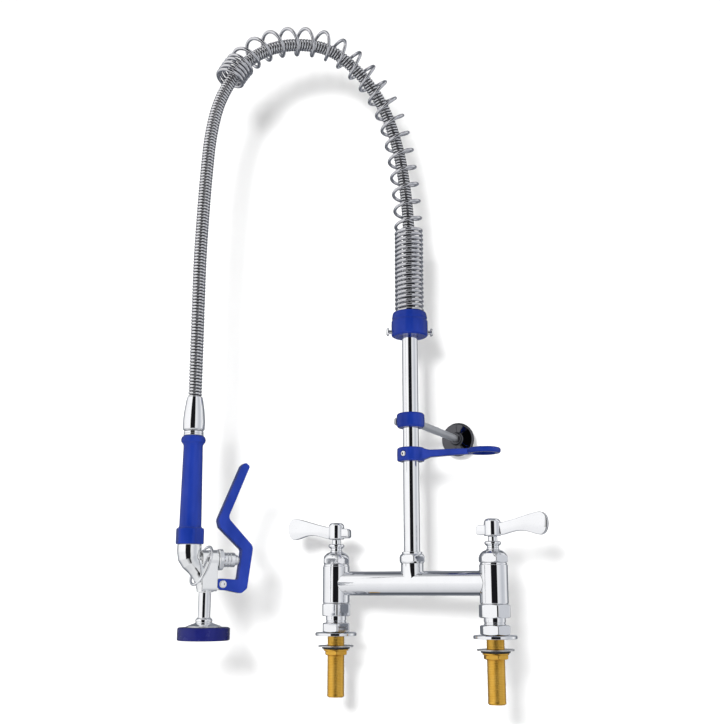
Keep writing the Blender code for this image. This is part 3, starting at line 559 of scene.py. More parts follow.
# ---------------------------------------------------------------- hose

HOSE_START = (span("hose_inlet")[1].z + 0.3) * MM
HOSE_END = (span("hose_ferrule")[1].z + 0.3) * MM
HOSE_D = 15.4
HOSE_RIB = 3.75

# Reach and height of the hose's centre line, in shares of the reach and in metres.
HOSE_LINE = [
    (0.000, HOSE_START),
    (0.000, 0.455),
    (0.000, 0.510),
    (0.015, 0.563),
    (0.055, 0.623),
    (0.125, 0.674),
    (0.225, 0.711),
    (0.340, 0.735),
    (0.430, 0.7435),
    (0.515, 0.7435),
    (0.605, 0.7385),
    (0.690, 0.729),
    (0.765, 0.715),
    (0.830, 0.697),
    (0.885, 0.674),
    (0.940, 0.638),
    (0.970, 0.597),
    (0.984, 0.550),
    (0.994, 0.490),
    (1.000, 0.430),
    (1.000, 0.350),
    (1.000, HOSE_END),
]


def smooth_line(points, spacing):
    """Points a fixed distance apart on a Catmull-Rom curve through these."""
    dense = []
    last = len(points) - 1
    for i in range(last):
        a, b, c, d = (points[min(max(i + k, 0), last)] for k in (-1, 0, 1, 2))
        for step in range(24):
            t = step / 24
            bend = 2 * b + (c - a) * t + (2 * a - 5 * b + 4 * c - d) * t**2
            dense.append((bend + (3 * b - a - 3 * c + d) * t**3) / 2)
    dense.append(points[last])
    lengths = [0.0]
    for p, q in zip(dense, dense[1:]):
        lengths.append(lengths[-1] + (q - p).length)
    count = round(lengths[-1] / spacing)
    even = []
    j = 0
    for k in range(count + 1):
        target = lengths[-1] * k / count
        while j < len(dense) - 2 and lengths[j + 1] < target:
            j += 1
        share = (target - lengths[j]) / (lengths[j + 1] - lengths[j])
        even.append(dense[j].lerp(dense[j + 1], share))
    return even


HOSE_POINTS = [OUT * (share * REACH) + UP * (height / MM) for share, height in HOSE_LINE]


def make_hose():
    """A wound strip hose: each rib is a rounded band, and the ribs climb in a spiral. Its grooves carry a
    near-black material as painted shade.
    """
    rows = 8  # rings for each rib
    line = smooth_line(HOSE_POINTS, HOSE_RIB / rows)
    sides = 24
    crown = 0.66  # share of each rib's pitch that isn't groove

    def rib(i):
        def radius(turn):
            phase = (i / rows + turn) % 1.0
            if phase > crown:
                return HOSE_D / 2 - 1.35
            return HOSE_D / 2 - 0.35 * (2 * phase / crown - 1) ** 2
        return radius

    hose = swept("wound_hose", line, rib, sides)
    settle(hose, "arch", "hose", HOSE_STEEL, "hose")
    # Painted shade: the faces in and next to each groove take the near-black groove material.
    hose.data.materials.append(HOSE_GROOVE_SHADE)
    for face in hose.data.polygons:
        row, side = divmod(face.index - 2, sides)
        if face.index > 1 and (row / rows + side / sides) % 1.0 > crown - 0.08:
            face.material_index = 1


make_hose()


# ---------------------------------------------------------------- spring

COIL_WIRE = 4.3
COIL_D = 37.0
COIL_TIGHT_TOP = 509
COIL_PITCH = 5.9
COIL_OPEN_TURNS = 18
COIL_END_TURNS = 5
COIL_LIFT = COIL_D / 2 - COIL_WIRE - HOSE_D / 2 - 1.8
COIL_START = span("spring")[0].z + COIL_WIRE / 2


def coil_centre_line():
    """The hose lies on the inner side of the arched coil, so the coil's centre stands outside it."""
    fine = smooth_line(HOSE_POINTS, 1.0)
    line = []
    passed_top = False
    for i in range(1, len(fine) - 1):
        point = fine[i]
        tangent = (fine[i + 1] - fine[i - 1]).normalized()
        passed_top = passed_top or tangent.z < -0.2
        lift = COIL_LIFT * smoothstep(530, 700, point.z)
        if passed_top:
            lift *= 0.45 + 0.55 * smoothstep(665, 730, point.z)
        if passed_top and point.z < 672:
            break
        line.append(point + SIDE.cross(tangent) * lift)
    return line


def make_spring():
    """A right-handed coil: close-wound below, open over the arch, and close-wound at its end."""
    steps = 40  # for each turn
    line = coil_centre_line()
    lengths = [0.0]
    for p, q in zip(line, line[1:]):
        lengths.append(lengths[-1] + (q - p).length)
    low = COIL_START - HOSE_POINTS[0].z
    tight_turns = (COIL_TIGHT_TOP - COIL_START) / COIL_PITCH
    end_start = tight_turns + COIL_OPEN_TURNS
    total = round((end_start + COIL_END_TURNS) * steps)

    def open_share(turns):
        opening = smoothstep(tight_turns - 0.6, tight_turns + 0.6, turns)
        return opening * (1 - smoothstep(end_start - 0.6, end_start + 0.6, turns))

    def centre(distance):
        if distance <= 0:
            return line[0] + UP * distance, UP
        i = min(bisect.bisect_right(lengths, distance), len(lengths) - 1)
        share = (distance - lengths[i - 1]) / (lengths[i] - lengths[i - 1])
        return line[i - 1].lerp(line[i], share), (line[i] - line[i - 1]).normalized()

    shares = [open_share((k + 0.5) / steps) for k in range(total)]
    close_length = sum(1 - share for share in shares) * COIL_PITCH / steps
    open_pitch = (lengths[-1] - low - close_length) / sum(shares) * steps
    radius = (COIL_D - COIL_WIRE) / 2
    points = []
    climbed = low
    for k in range(total + 1):
        at, tangent = centre(climbed)
        angle = 2 * math.pi * k / steps
        spoke = SIDE.cross(tangent) * math.cos(angle) + SIDE * math.sin(angle)
        points.append(at + spoke * radius)
        if k < total:
            climbed += (COIL_PITCH + (open_pitch - COIL_PITCH) * shares[k]) / steps
    spring = swept("coil_spring", points, COIL_WIRE / 2, 12)
    settle(spring, "arch", "chrome", WIRE, "spring")


make_spring()


# ---------------------------------------------------------------- valves


def threaded(name, radius, bore, low, high, pitch, depth, place):
    """A pipe with a V thread cut in its outside, and a chamfer at its lower end."""
    shape = bmesh.new()
    sides = 64
    rows = 6  # rings for each thread
    rings = []
    count = round((high - low) / pitch * rows)
    for row in range(count + 1):
        z = low + (high - low) * row / count
        ring = []
        for i in range(sides):
            phase = (row / rows - i / sides) % 1.0
            fade = smoothstep(1.5, 4.0, z - low)
            chamfer = 1.2 * (1 - smoothstep(0.0, 1.6, z - low))
            r = radius - depth * fade * 2 * min(phase, 1 - phase) - chamfer
            a = 2 * math.pi * i / sides
            ring.append(shape.verts.new((r * math.cos(a), r * math.sin(a), z)))
        rings.append(ring)
    for z in (high, low):
        ring = []
        for i in range(sides):
            a = 2 * math.pi * i / sides
            ring.append(shape.verts.new((bore * math.cos(a), bore * math.sin(a), z)))
        rings.append(ring)
    bridge_rings(shape, rings, True)
    return from_bmesh(name, shape, 60, place)


def make_shank(side, place):
    low, high = span(side + "_shank")
    radius = (high.x - low.x) / 2
    bore = 7.5
    pitch = 1.814  # fourteen threads to the inch
    shank = threaded(side + "_threaded_shank", radius, bore, low.z, high.z, pitch, 0.42, place)
    settle(shank, "base", "brass", BRASS, side + "_shank")

    hole = radius + 0.3
    washer = sleeve(side + "_steel_washer", side + "_washer", hole, place, 0.35)
    settle(washer, "base", "steel", STEEL, side + "_washer")
    seal = sleeve(side + "_rubber_seal", side + "_seal", hole, place, 0.8)
    settle(seal, "base", "black", BLACK_RUBBER, side + "_seal")

    low, high = span(side + "_mount_nut")
    af = 25.6
    body = turned(side + "_nut_body", chamfered(af, low.z, high.z - 1.6, hole), place @ FLAT_FORWARD, True,
                  0, flats=(af, low.z - 1, high.z), sharp=25)
    brim = 0.60 * af
    profile = [(hole, high.z - 1.9), (brim, high.z - 1.9), (brim, high.z), (hole, high.z)]
    flange = turned(side + "_nut_brim", profile, place, True, 0.5)
    nut = merged(side + "_brass_nut", [body, flange])
    settle(nut, "base", "brass", BRASS, side + "_mount_nut")


def make_valve(side, place):
    hole = 10.75
    low, high = span(side + "_flange")
    r = (high.x - low.x) / 2
    profile = [(hole, 0), (r - 0.3, 0), (r, 0.4), (r, high.z - 0.9, 0.5), (r - 0.9, high.z - 0.1, 0.5),
               (hole, high.z)]
    chromed(turned(side + "_deck_flange", profile, place, True), side + "_flange")

    chromed(hexagon_nut(side + "_flange_nut", side + "_lock_nut", hole, place), side + "_lock_nut")

    low, high = span(side + "_tailpiece")
    r = (high.x - low.x) / 2
    profile = [(r - 2, low.z), (r, low.z), (r, low.z + 1.2), (r - 0.6, low.z + 1.7),
               (r - 0.6, low.z + 2.5), (r, low.z + 3.0), (r, high.z), (r - 2, high.z)]
    chromed(turned(side + "_tail_pipe", profile, place, True), side + "_tailpiece")

    nut = hexagon_nut(side + "_union_nut", side + "_coupling_nut", 12.8, place, 0.97)
    chromed(nut, side + "_coupling_nut")

    low, high = span(side + "_valve_body")
    r = (high.x - low.x) / 2
    profile = [(0, low.z), (r - 0.9, low.z, 0.5), (r, low.z + 1.1, 0.8), (r, high.z - 2.6, 0.4),
               (r - 0.7, high.z - 2.1, 0.3), (r - 0.7, high.z, 0.5), (0, high.z)]
    chromed(turned(side + "_valve_barrel", profile, place), side + "_valve_body")

    low, high = span(side + "_bonnet")
    af = high.y - low.y
    corner = 0.57 * af
    z = low.z
    profile = [(6.2, z), (0.49 * af, z, 0.3), (0.535 * af, z + 0.5, 0.6), (corner, z + 1.8, 1.2),
               (corner, z + 6.0, 2.0), (0.53 * af, z + 8.0, 3), (0.47 * af, z + 10.6, 5),
               (0.375 * af, z + 13.2, 5), (0.25 * af, z + 14.8, 1.5), (0.235 * af, z + 15.6, 0.3),
               (0.235 * af, high.z, 0.3), (6.2, high.z)]
    bonnet = turned(side + "_valve_bonnet", profile, place @ FLAT_FORWARD, True,
                    flats=(af, z - 1, z + 12), sharp=28)
    chromed(bonnet, side + "_bonnet")

    low, high = span(side + "_packing_nut")
    r = (high.x - low.x) / 2
    z = low.z
    profile = [(6.0, z), (7.2, z, 0.3), (6.8, z + 1.8, 0.8), (r - 0.9, z + 3.6, 0.4), (r, z + 4.6, 0.6),
               (r, high.z - 1.0, 0.6), (r - 1.2, high.z, 0.6), (6.0, high.z)]
    nut = turned(side + "_gland_nut", profile, place, True)
    chromed(nut, side + "_packing_nut")


# The blade's side view: share of the reach, and height above the hub's foot.
BLADE = [(0.06, 0.9), (0.20, 1.1), (0.32, 3.2), (0.45, 5.0), (0.58, 4.9), (0.70, 2.9), (0.80, 0.8),
         (0.885, 0.3), (0.950, 2.9), (0.988, 8.0), (1.000, 14.0), (0.986, 20.0), (0.945, 24.6),
         (0.875, 26.5), (0.78, 26.0), (0.60, 22.8), (0.40, 19.0), (0.20, 15.7), (0.06, 13.6)]


def smooth_loop(points, steps=6):
    """A closed Catmull-Rom curve through two-number points."""
    loop = []
    count = len(points)
    for i in range(count):
        a, b, c, d = (Vector(points[(i + k) % count]) for k in (-1, 0, 1, 2))
        for step in range(steps):
            t = step / steps
            bend = 2 * b + (c - a) * t + (2 * a - 5 * b + 4 * c - d) * t**2
            loop.append(tuple((bend + (3 * b - a - 3 * c + d) * t**3) / 2))
    return loop


def make_handle(side, place, outward):
    """A hub, a blade that widens outward, and a short stub inward."""
    low, high = span(side + "_handle", place)
    hub_r = high.y
    tall = 20.1
    at = place @ Matrix.Translation((0, 0, low.z))
    stem = 4.3
    profile = [(stem, 0), (hub_r - 0.5, 0, 0.5), (hub_r, 0.9, 0.6), (hub_r, tall - 3.4, 3.0),
               (0.80 * hub_r, tall - 0.7, 3.0), (0.62 * hub_r, tall - 0.05, 1.0), (0, tall),
               (0, tall - 4.7), (stem, tall - 4.7)]
    hub = turned(side + "_cast_handle", profile, at, fillet=0.2, sides=128)
    tip = max(high.x, -low.x)
    outline = [(outward * share * tip, z) for share, z in smooth_loop(BLADE)]
    blade = bevelled(plate("blade", outline, -3.0, 3.0, at), 1.2, 4, 50)
    corners = [(0.0, 1.1, 0), (18.9, 1.1, 2.8), (18.9, 12.9, 4.0), (0.0, 12.9, 0)]
    outline = [(-outward * x, z) for x, z in rounded(corners, 8)]
    stub = bevelled(plate("stub", outline, -4.4, 4.4, at), 1.2, 4)
    core = rod("core", stem, (0, 0, -1), (0, 0, tall - 4.7), at)
    join(hub, blade, stub)
    cut(hub, core)
    settle(hub, side + "_handle", "chrome", CHROME, side + "_handle")

    low, high = span(side + "_stem")
    r = (high.x - low.x) / 2
    neck = span(side + "_handle")[0].z - 0.3
    profile = [(0, low.z), (r, low.z), (r, neck - 1.0), (r - 0.5, neck), (4.0, neck), (4.0, high.z),
               (0, high.z)]
    stem = turned(side + "_spindle", profile, place, fillet=0.25)
    settle(stem, side + "_handle", "chrome", CHROME, side + "_stem")


for SIDE_NAME, OUTWARD in (("left", -1), ("right", 1)):
    CENTRE = middle(SIDE_NAME + "_valve_body")
    VALVE = Matrix.Translation((CENTRE.x, CENTRE.y, 0))
    make_shank(SIDE_NAME, VALVE)
    make_valve(SIDE_NAME, VALVE)
    make_handle(SIDE_NAME, VALVE, OUTWARD)


# ---------------------------------------------------------------- bridge and riser


def make_bridge():
    """A tube saddled on both valve bodies, with a boss for the riser."""
    low, high = span("bridge")
    r = high.y
    axis = low.z + r
    half_span = middle("right_valve_body").x
    seat = (span("right_valve_body")[1].x - half_span) + 0.3
    bridge = rod("bridge_tube", r, (-half_span, 0, axis), (half_span, 0, axis), sides=160)
    boss_r = 13.6
    join(bridge, rod("boss", boss_r, (0, 0, axis), (0, 0, high.z), sides=160))
    tools = [rod("bore", 11, (-half_span, 0, axis), (half_span, 0, axis), sides=64),
             rod("riser_bore", 7.5, (0, 0, axis), (0, 0, high.z + 1), sides=64)]
    for sign in (-1, 1):
        tools.append(rod("saddle", seat, (sign * half_span, 0, 0), (sign * half_span, 0, 2 * axis),
                         sides=160))
    cut(bridge, *tools)
    chromed(bridge, "bridge")


def make_riser():
    low, high = span("riser_nut")
    af = high.y - low.y
    bore = 10.2
    z = low.z
    corner = 0.565 * af
    profile = [(bore, z), (0.485 * af, z, 0.5), (corner, z + 2.4, 1.6), (corner, z + 7.4, 2.0),
               (0.49 * af, z + 10.2, 1.5), (0.43 * af, z + 11.0, 0.6), (0.43 * af, high.z, 0.5),
               (bore, high.z)]
    nut = turned("riser_union_nut", profile, FLAT_FORWARD, True, flats=(af, z - 1, z + 10.4), sharp=28)
    chromed(nut, "riser_nut")
    low, high = span("riser")
    r = high.x
    profile = [(r - 2.4, low.z), (r, low.z), (r, high.z), (r - 2.4, high.z)]
    chromed(turned("riser_pipe", profile, Matrix(), True, sides=128), "riser")
    low, high = span("hose_inlet")
    z = low.z
    crimp = HOSE_D / 2 + 0.9
    profile = [(5, z), (11.6, z), (11.6, z + 9), (crimp, z + 9.6), (crimp, z + 13),
               (crimp - 0.6, z + 13.6), (crimp - 0.6, z + 15), (crimp, z + 15.6), (crimp, high.z),
               (5, high.z)]
    inlet = turned("hose_adapter", profile, FLAT_FORWARD, True, flats=(21, z - 1, z + 9.3), sharp=28)
    chromed(inlet, "hose_inlet")


make_bridge()
make_riser()


# ---------------------------------------------------------------- fittings on the riser


def screw(name, shank_r, head_r, shank_length, head_height, place, dome=0.5, recess=None):
    """A screw along Z whose head has a hexagon socket."""
    top = shank_length + head_height
    profile = [(0, 0), (shank_r - 0.4, 0), (shank_r, 0.5), (shank_r, shank_length),
               (head_r, shank_length, 0.3), (head_r, top - dome * head_height, 0.8),
               (head_r * 0.74, top, 0.8), (0, top)]
    body = turned(name, profile, place, fillet=0.2, sides=64)
    key = recess or head_r * 0.5
    socket = turned("socket", [(0, top - 1.6), (key * 1.2, top - 1.6), (key * 1.2, top + 1), (0, top + 1)],
                    place, fillet=0, flats=(2 * key, 0, top + 1))
    return cut(body, socket)


def make_collar():
    low, high = span("spring_collar")
    r = high.y
    z = low.z
    bore = 10.2
    recess = COIL_D / 2 + 0.4
    profile = [(bore, z), (r - 2.4, z, 0.8), (r - 0.2, z + 1.4, 1.4), (r, z + 11, 6),
               (r - 0.1, z + 19.6, 1.2), (r - 1.2, z + 21.2, 0.8), (r - 1.3, z + 22.6, 0.8),
               (r - 0.6, z + 24.2, 1.6), (r - 1.8, high.z - 1.6, 1.8), (recess + 1.2, high.z, 0.8),
               (recess, high.z - 0.6, 0.4), (recess, z + 12.6), (13.6, z + 12.6), (13.6, z + 9.5),
               (bore, z + 9.5)]
    collar = turned("collar_moulding", profile, Matrix(), True, sides=128)
    places = {}
    for side in ("left", "right"):
        centre = middle(side + "_collar_screw")
        out = Vector((centre.x, centre.y, 0)).normalized()
        start = out * 10.2 + UP * centre.z
        places[side] = aimed(start, out)
    cut(collar, *[rod("hole", 2.9, (0, 0, -1), (0, 0, 25), place) for place in places.values()])
    settle(collar, "base", "blue", BLUE, "spring_collar")
    for side, place in places.items():
        low, high = span(side + "_collar_screw", place)
        length = high.z - low.z
        piece = screw(side + "_set_screw", 2.6, 5.1, length - 2.9, 2.9, place)
        chromed(piece, side + "_collar_screw")


def make_bracket():
    low, high = span("bracket_ring")
    r = high.y
    z = (low.z + high.z) / 2
    half = high.z - z
    bore = 10.2
    profile = [(bore, -half), (r - 2.2, -half, 1.0), (r - 0.4, -half + 2, 2.0), (r, 0, 10),
               (r - 0.4, half - 2, 2.0), (r - 2.2, half, 1.0), (bore, half)]
    ring = turned("bracket_clamp", profile, Matrix.Translation((0, 0, z)), True, sides=128)
    arm_r = 5.0
    start = span("bracket_arm")[0].y
    cut(ring, rod("arm_hole", arm_r + 0.3, (0, start - 0.3, z), (0, 40, z)),
        rod("screw_hole", 2.9, (-5, 0, z), (-30, 0, z)))
    settle(ring, "base", "blue", BLUE, "bracket_ring")
    low, high = span("bracket_screw")
    place = Matrix.Translation((high.x, 0, z)) @ Matrix.Rotation(-math.pi / 2, 4, "Y")
    length = high.x - low.x
    piece = screw("clamp_screw", 2.6, 4.9, length - 3.4, 3.4, place)
    settle(piece, "base", "chrome", STEEL, "bracket_screw")
    low, high = span("bracket_arm")
    place = Matrix.Translation((0, low.y, z)) @ Matrix.Rotation(-math.pi / 2, 4, "X")
    length = high.y - low.y
    profile = [(0, 0), (arm_r, 0), (arm_r, length), (0, length)]
    settle(turned("wall_arm", profile, place), "base", "chrome", ARM_METAL, "bracket_arm")
    low, high = span("wall_flange")
    r = (high.x - low.x) / 2
    place = Matrix.Translation((0, high.y, z)) @ Matrix.Rotation(math.pi / 2, 4, "X")
    tall = high.y - low.y
    profile = [(0, 0), (r - 0.4, 0, 0.3), (r, 0.8, 0.5), (r, 2.4, 1.2), (0.88 * r, 4.4, 4),
               (0.64 * r, 6.0, 6), (arm_r + 4.4, 7.6, 2.5), (arm_r + 3.2, 9.4, 1.0),
               (arm_r + 3.2, tall - 1.2, 0.6), (arm_r + 2.2, tall, 0.6), (arm_r + 0.3, tall),
               (arm_r + 0.3, 5.7), (0, 5.7)]
    # Painted shade: the rose gets the near-black chrome for the shade it lies in.
    settle(turned("wall_rose", profile, place, sides=128), "base", "chrome", SHADED_CHROME, "wall_flange")


def make_hook():
    """A ring on the riser, a tapering arm and an open claw, moulded as one."""
    low, high = span("hook")
    z = (low.z + high.z) / 2
    half = high.z - z
    ring_r = 17.3
    reach = high.x
    claw_r = 20.0
    tip = reach - claw_r
    profile = [(0, -half), (ring_r - 1.6, -half), (ring_r - 0.2, -half + 1.6), (ring_r, 0),
               (ring_r - 0.2, half - 1.6), (ring_r - 1.6, half), (0, half)]
    hook = turned("hook_moulding", profile, Matrix.Translation((0, 0, z)))
    corners = [(6.0, -half + 1.4, 0), (17.0, -half + 1.4, 4), (25.0, -4.3, 8), (0.62 * reach, -3.4, 20),
               (tip, -3.6, 0), (tip, 3.6, 0), (0.62 * reach, 3.6, 20), (25.0, 4.7, 8),
               (17.0, half - 1.4, 4), (6.0, half - 1.4, 0)]
    arm = bevelled(plate("arm", rounded(corners), -5.8, 5.8, Matrix.Translation((0, 0, z))), 2.0, 3)
    claw = turned("claw", [(0, -3.3), (claw_r, -3.3, 2.6), (claw_r, 3.3, 2.6), (0, 3.3)],
                  Matrix.Translation((tip, 0, z)))
    join(hook, arm, claw)
    bore = turned("claw_bore", [(0, -9), (13.5, -9), (13.5, 9), (0, 9)],
                  Matrix.Translation((tip, 0, z)), fillet=0)
    mouth = plate("mouth", [(tip - 4, z - 9), (tip + 10.5, z - 9), (tip + 10.5, z + 9), (tip - 4, z + 9)],
                  -30, 0)
    cut(hook, bore, mouth)
    moulded(hook, 0.5, 9)
    heading = math.radians(257)
    out = Vector((math.cos(heading), math.sin(heading), 0))
    start = out * 10.7 + UP * z
    cut(hook, rod("riser_hole", 10.3, (0, 0, z - 20), (0, 0, z + 20)),
        rod("hole", 3.9, start - out * 3, start + out * 30))
    settle(hook, "hook", "blue", BLUE, "hook")
    place = aimed(start, out)
    length = ring_r - 10.5
    piece = screw("hook_set_screw", 3.1, 3.6, length - 3.0, 3.0, place, 0.3, 1.6)
    settle(piece, "hook", "steel", CHROME, "hook_screw")


make_collar()
make_bracket()
make_hook()


# ---------------------------------------------------------------- spray valve


def make_grip():
    low, high = span("hose_ferrule", SPRAY)
    z = low.z
    top = high.z
    crimp = HOSE_D / 2 + 0.9
    profile = [(5, z), (10.8, z, 0.5), (12.3, z + 1.6, 1.2), (12.5, z + 11, 8), (11.6, z + 22, 14),
               (crimp + 1.0, top - 4.4, 4), (crimp + 0.1, top - 0.4, 0.6), (crimp - 0.3, top, 0.3),
               (5, top)]
    chromed(turned("tapered_ferrule", profile, SPRAY, True), "hose_ferrule", "arch")

    low, high = span("swivel_nut", SPRAY)
    z = low.z
    tall = high.z - z
    profile = [(5, z), (11.3, z, 0.3), (11.3, z + 0.30 * tall, 0.2), (10.8, z + 0.36 * tall, 0.2),
               (10.8, z + 0.44 * tall, 0.2), (11.3, z + 0.50 * tall, 0.2), (11.3, high.z - 0.7, 0.5),
               (10.4, high.z, 0.3), (5, high.z)]
    chromed(turned("swivel_ring", profile, SPRAY, True), "swivel_nut", "spray_valve")

    low, high = span("grip", SPRAY)
    z = low.z
    top = high.z
    r = 11.7
    af = 28.6
    corner = 15.8
    profile = [(0, z), (14.7, z, 0.4), (corner, z + 0.9, 0.8), (corner, z + 16.2, 0.8),
               (14.6, z + 17.4, 0.6), (r + 1.6, z + 17.8, 0.4), (r + 0.6, z + 19.6, 1.6),
               (r, (z + top) / 2, 40), (r - 0.8, top - 11.5, 1.5), (r - 0.2, top - 9.6, 1.2),
               (r + 1.9, top - 7.0, 1.6), (r + 2.2, top - 4.6, 1.8), (r + 1.5, top - 1.8, 1.4),
               (r - 0.3, top, 0.8), (0, top)]
    grip = turned("grip_moulding", profile, SPRAY, flats=(af, z - 1, z + 17.6), sharp=28)
    settle(grip, "spray_valve", "blue", BLUE, "grip").visible_glossy = False


PLUNGER_Z = middle("plunger", SPRAY).z
PIVOT = middle("lever_pin", SPRAY)
OUTLET = SPRAY @ Matrix.Translation((middle("outlet_tube", SPRAY).x, 0, 0))
OUTLET_X = middle("outlet_tube", SPRAY).x
OUTLET_TOP = span("spray_body", SPRAY)[0].z
BODY_TOP = span("spray_body", SPRAY)[1].z


# The elbow from the neck to the outlet: distance from the grip's axis, height and radius.
SWEEP = [(0, 103.85, 13.4), (0, 96, 13.4), (0.7, 90.2, 13.2), (3.2, 85.4, 12.2), (7.4, 80.8, 11.2),
         (11.5, 75.2, 10.5), (15.2, 68.6, 9.9), (17.8, 61.6, 9.4), (18.9, 56.0, 9.2), (19.0, 52.7, 9.1)]


def elbow(name, stations, place):
    """A round bar whose middle runs through the stations in local X and Z."""
    points = [Vector((x, 0, z)) for x, z, _ in stations]
    shape = bmesh.new()
    rings = []
    for i, (point, station) in enumerate(zip(points, stations)):
        tangent = (points[min(i + 1, len(points) - 1)] - points[max(i - 1, 0)]).normalized()
        across = Vector((0, 1, 0)).cross(tangent)
        ring = []
        for k in range(64):
            angle = 2 * math.pi * k / 64
            spoke = across * math.cos(angle) + Vector((0, math.sin(angle), 0))
            ring.append(shape.verts.new(point + spoke * station[2]))
        rings.append(ring)
    shape.faces.new(rings[0])
    shape.faces.new(rings[-1])
    bridge_rings(shape, rings, False)
    return from_bmesh(name, shape, None, place)


def make_spray_body():
    """A cast body: a neck under the grip, a diagonal sweep to the outlet, and the valve block."""
    body = elbow("cast_body", SWEEP, SPRAY)
    boss = rod("boss", 9.2, (OUTLET_X, 0, OUTLET_TOP), (OUTLET_X, 0, OUTLET_TOP + 17.6), SPRAY)
    face = span("plunger_guide", SPRAY)[0].x - 0.3
    port = rod("port", 10.7, (20, 0, PLUNGER_Z), (face, 0, PLUNGER_Z), SPRAY)
    corners = [(-10.1, OUTLET_TOP + 0.8, 3.4), (10.1, OUTLET_TOP + 0.8, 3.4),
               (10.1, PLUNGER_Z + 10.2, 6.6), (-10.1, PLUNGER_Z + 10.2, 6.6)]
    block = plate("block", rounded(corners), -30.5, -13, SPRAY @ Matrix.Rotation(math.pi / 2, 4, "Z"))
    corners = [(28, PIVOT.z - 6.2, 0), (PIVOT.x + 6, PIVOT.z - 6.2, 5), (PIVOT.x + 6, PIVOT.z + 6.2, 5),
               (28, PIVOT.z + 6.2, 0)]
    lug = plate("lug", rounded(corners), -3.35, 3.35, SPRAY)
    join(body, boss, port, block, lug)
    moulded(body, 0.42, 10)
    flush = rod("flush", 30, (0, 0, BODY_TOP - 0.05), (0, 0, BODY_TOP + 5), SPRAY)
    pin = rod("pin_hole", 2.8, (PIVOT.x, -20, PIVOT.z), (PIVOT.x, 20, PIVOT.z), SPRAY)
    cut(body, pin, flush)
    settle(body, "spray_valve", "chrome", CAST_CHROME, "spray_body")


def make_plunger():
    low, high = span("plunger_guide", SPRAY)
    place = SPRAY @ Matrix.Translation((low.x, 0, PLUNGER_Z)) @ X_AXIS
    bore = 5.85
    r = 8.0
    end = high.x - low.x
    nut = 12.4
    groove = r - 0.9
    profile = [(0, 0), (11.2, 0, 0.2), (nut, 1.1, 0.6), (nut, 4.1, 0.6), (11.2, 5.2, 0.2),
               (groove, 5.2, 0.2), (groove, 6.6, 0.3)]
    for ridge in (8.6, 12.0, 15.4):
        profile += [(r, (ridge - 1.1), 0.5), (r, (ridge + 1.1), 0.5), (groove, (ridge + 1.4), 0.2),
                    (groove, (ridge + 2.0), 0.2)]
    profile = profile[:-2] + [(r, end - 1.2, 0.4), (r - 0.9, end, 0.4), (bore, end), (bore, 2.4),
                              (0, 2.4)]
    guide = turned("plunger_gland", profile, place, fillet=0.2, flats=(23, -1, 5.2), sharp=28)
    chromed(guide, "plunger_guide", "spray_valve")
    low, high = span("plunger", SPRAY)
    place = SPRAY @ Matrix.Translation((low.x, 0, PLUNGER_Z)) @ X_AXIS
    r = 5.45
    end = high.x - low.x
    profile = [(0, 0), (r, 0), (r, end - 2.4, 1.4), (0.72 * r, end - 0.5, 1.4), (0, end)]
    chromed(turned("plunger_button", profile, place), "plunger", "plunger")


def make_lever():
    """A bent squeeze lever with rounded edges and a fork round the body's lug."""
    corners = [(31.2, 54.8, 5.8), (43.0, 54.2, 6), (58.5, 50.9, 4), (65.2, 56.0, 5), (71.3, 102.6, 8),
               (41.6, 133.9, 7), (65.4, 193.0, 2.6), (60.0, 197.4, 2.6), (56.0, 193.4, 2.6),
               (30.5, 131.6, 7), (32.6, 123.2, 6), (58.9, 98.7, 4), (55.2, 65.7, 2.5), (44.2, 66.6, 3),
               (37.2, 66.9, 5.4), (31.2, 66.9, 5.8)]
    outline = rounded(corners, 8)
    low, high = span("lever", SPRAY)
    half = high.y
    lever = plate("squeeze_lever", outline, -half, half, SPRAY)
    slot = 3.8
    fork = plate("fork", [(PIVOT.x - 9, PIVOT.z - 9), (PIVOT.x + 7.2, PIVOT.z - 9),
                          (PIVOT.x + 7.2, PIVOT.z + 9), (PIVOT.x - 9, PIVOT.z + 9)], -slot, slot, SPRAY)
    pin = rod("pin_hole", 2.8, (PIVOT.x, -20, PIVOT.z), (PIVOT.x, 20, PIVOT.z), SPRAY)
    cut(lever, fork)
    bevelled(lever, 1.5, 4)
    seams = []
    for sign in (-1, 1):
        seam = PIVOT.x + 5.5
        outline = [(seam, 50), (seam + 0.5, 50), (seam + 0.5, 70), (seam, 70)]
        edges = sorted((sign * (half - 0.35), sign * (half + 1)))
        seams.append(plate("seam", outline, edges[0], edges[1], SPRAY))
    cut(lever, pin, *seams)
    settle(lever, "lever", "blue", BLUE, "lever").visible_glossy = False
    low, high = span("lever_pin", SPRAY)
    length = high.y - low.y
    place = SPRAY @ Matrix.Translation((PIVOT.x, high.y, PIVOT.z)) @ Matrix.Rotation(math.pi / 2, 4, "X")
    pin = screw("pivot_screw", 2.4, 4.2, length - 1.4, 1.4, place, 0.6, 1.7)
    low_head = turned("pivot_rivet", [(0, 0), (3.6, 0, 0.4), (3.6, 1.2, 0.2), (0, 1.2)], place)
    pin = merged("pivot_pin", [pin, low_head])
    pin.data.shade_smooth()
    pin.data.set_sharp_from_angle(angle=math.radians(30))
    settle(pin, "spray_valve", "steel", CHROME, "lever_pin")


def make_hold_ring():
    """The loose wire ring that holds the lever squeezed. It hangs a little askew."""
    wire = 1.5
    top = Vector((22.0, 0, 101.6))
    bottom = Vector((4.6, 0, 60.4))
    width = 18.5
    centre = (top + bottom) / 2
    points = []
    for k in range(96):
        angle = 2 * math.pi * k / 96
        points.append(centre + (top - centre) * math.cos(angle) + Vector((0, width * math.sin(angle), 0)))
    askew = Matrix.Translation(top) @ Matrix.Rotation(math.radians(12), 4, "Z") @ Matrix.Translation(-top)
    ring = swept("wire_ring", points, wire, 16, True, SPRAY @ askew)
    chromed(ring, "hold_ring", "hold_ring")


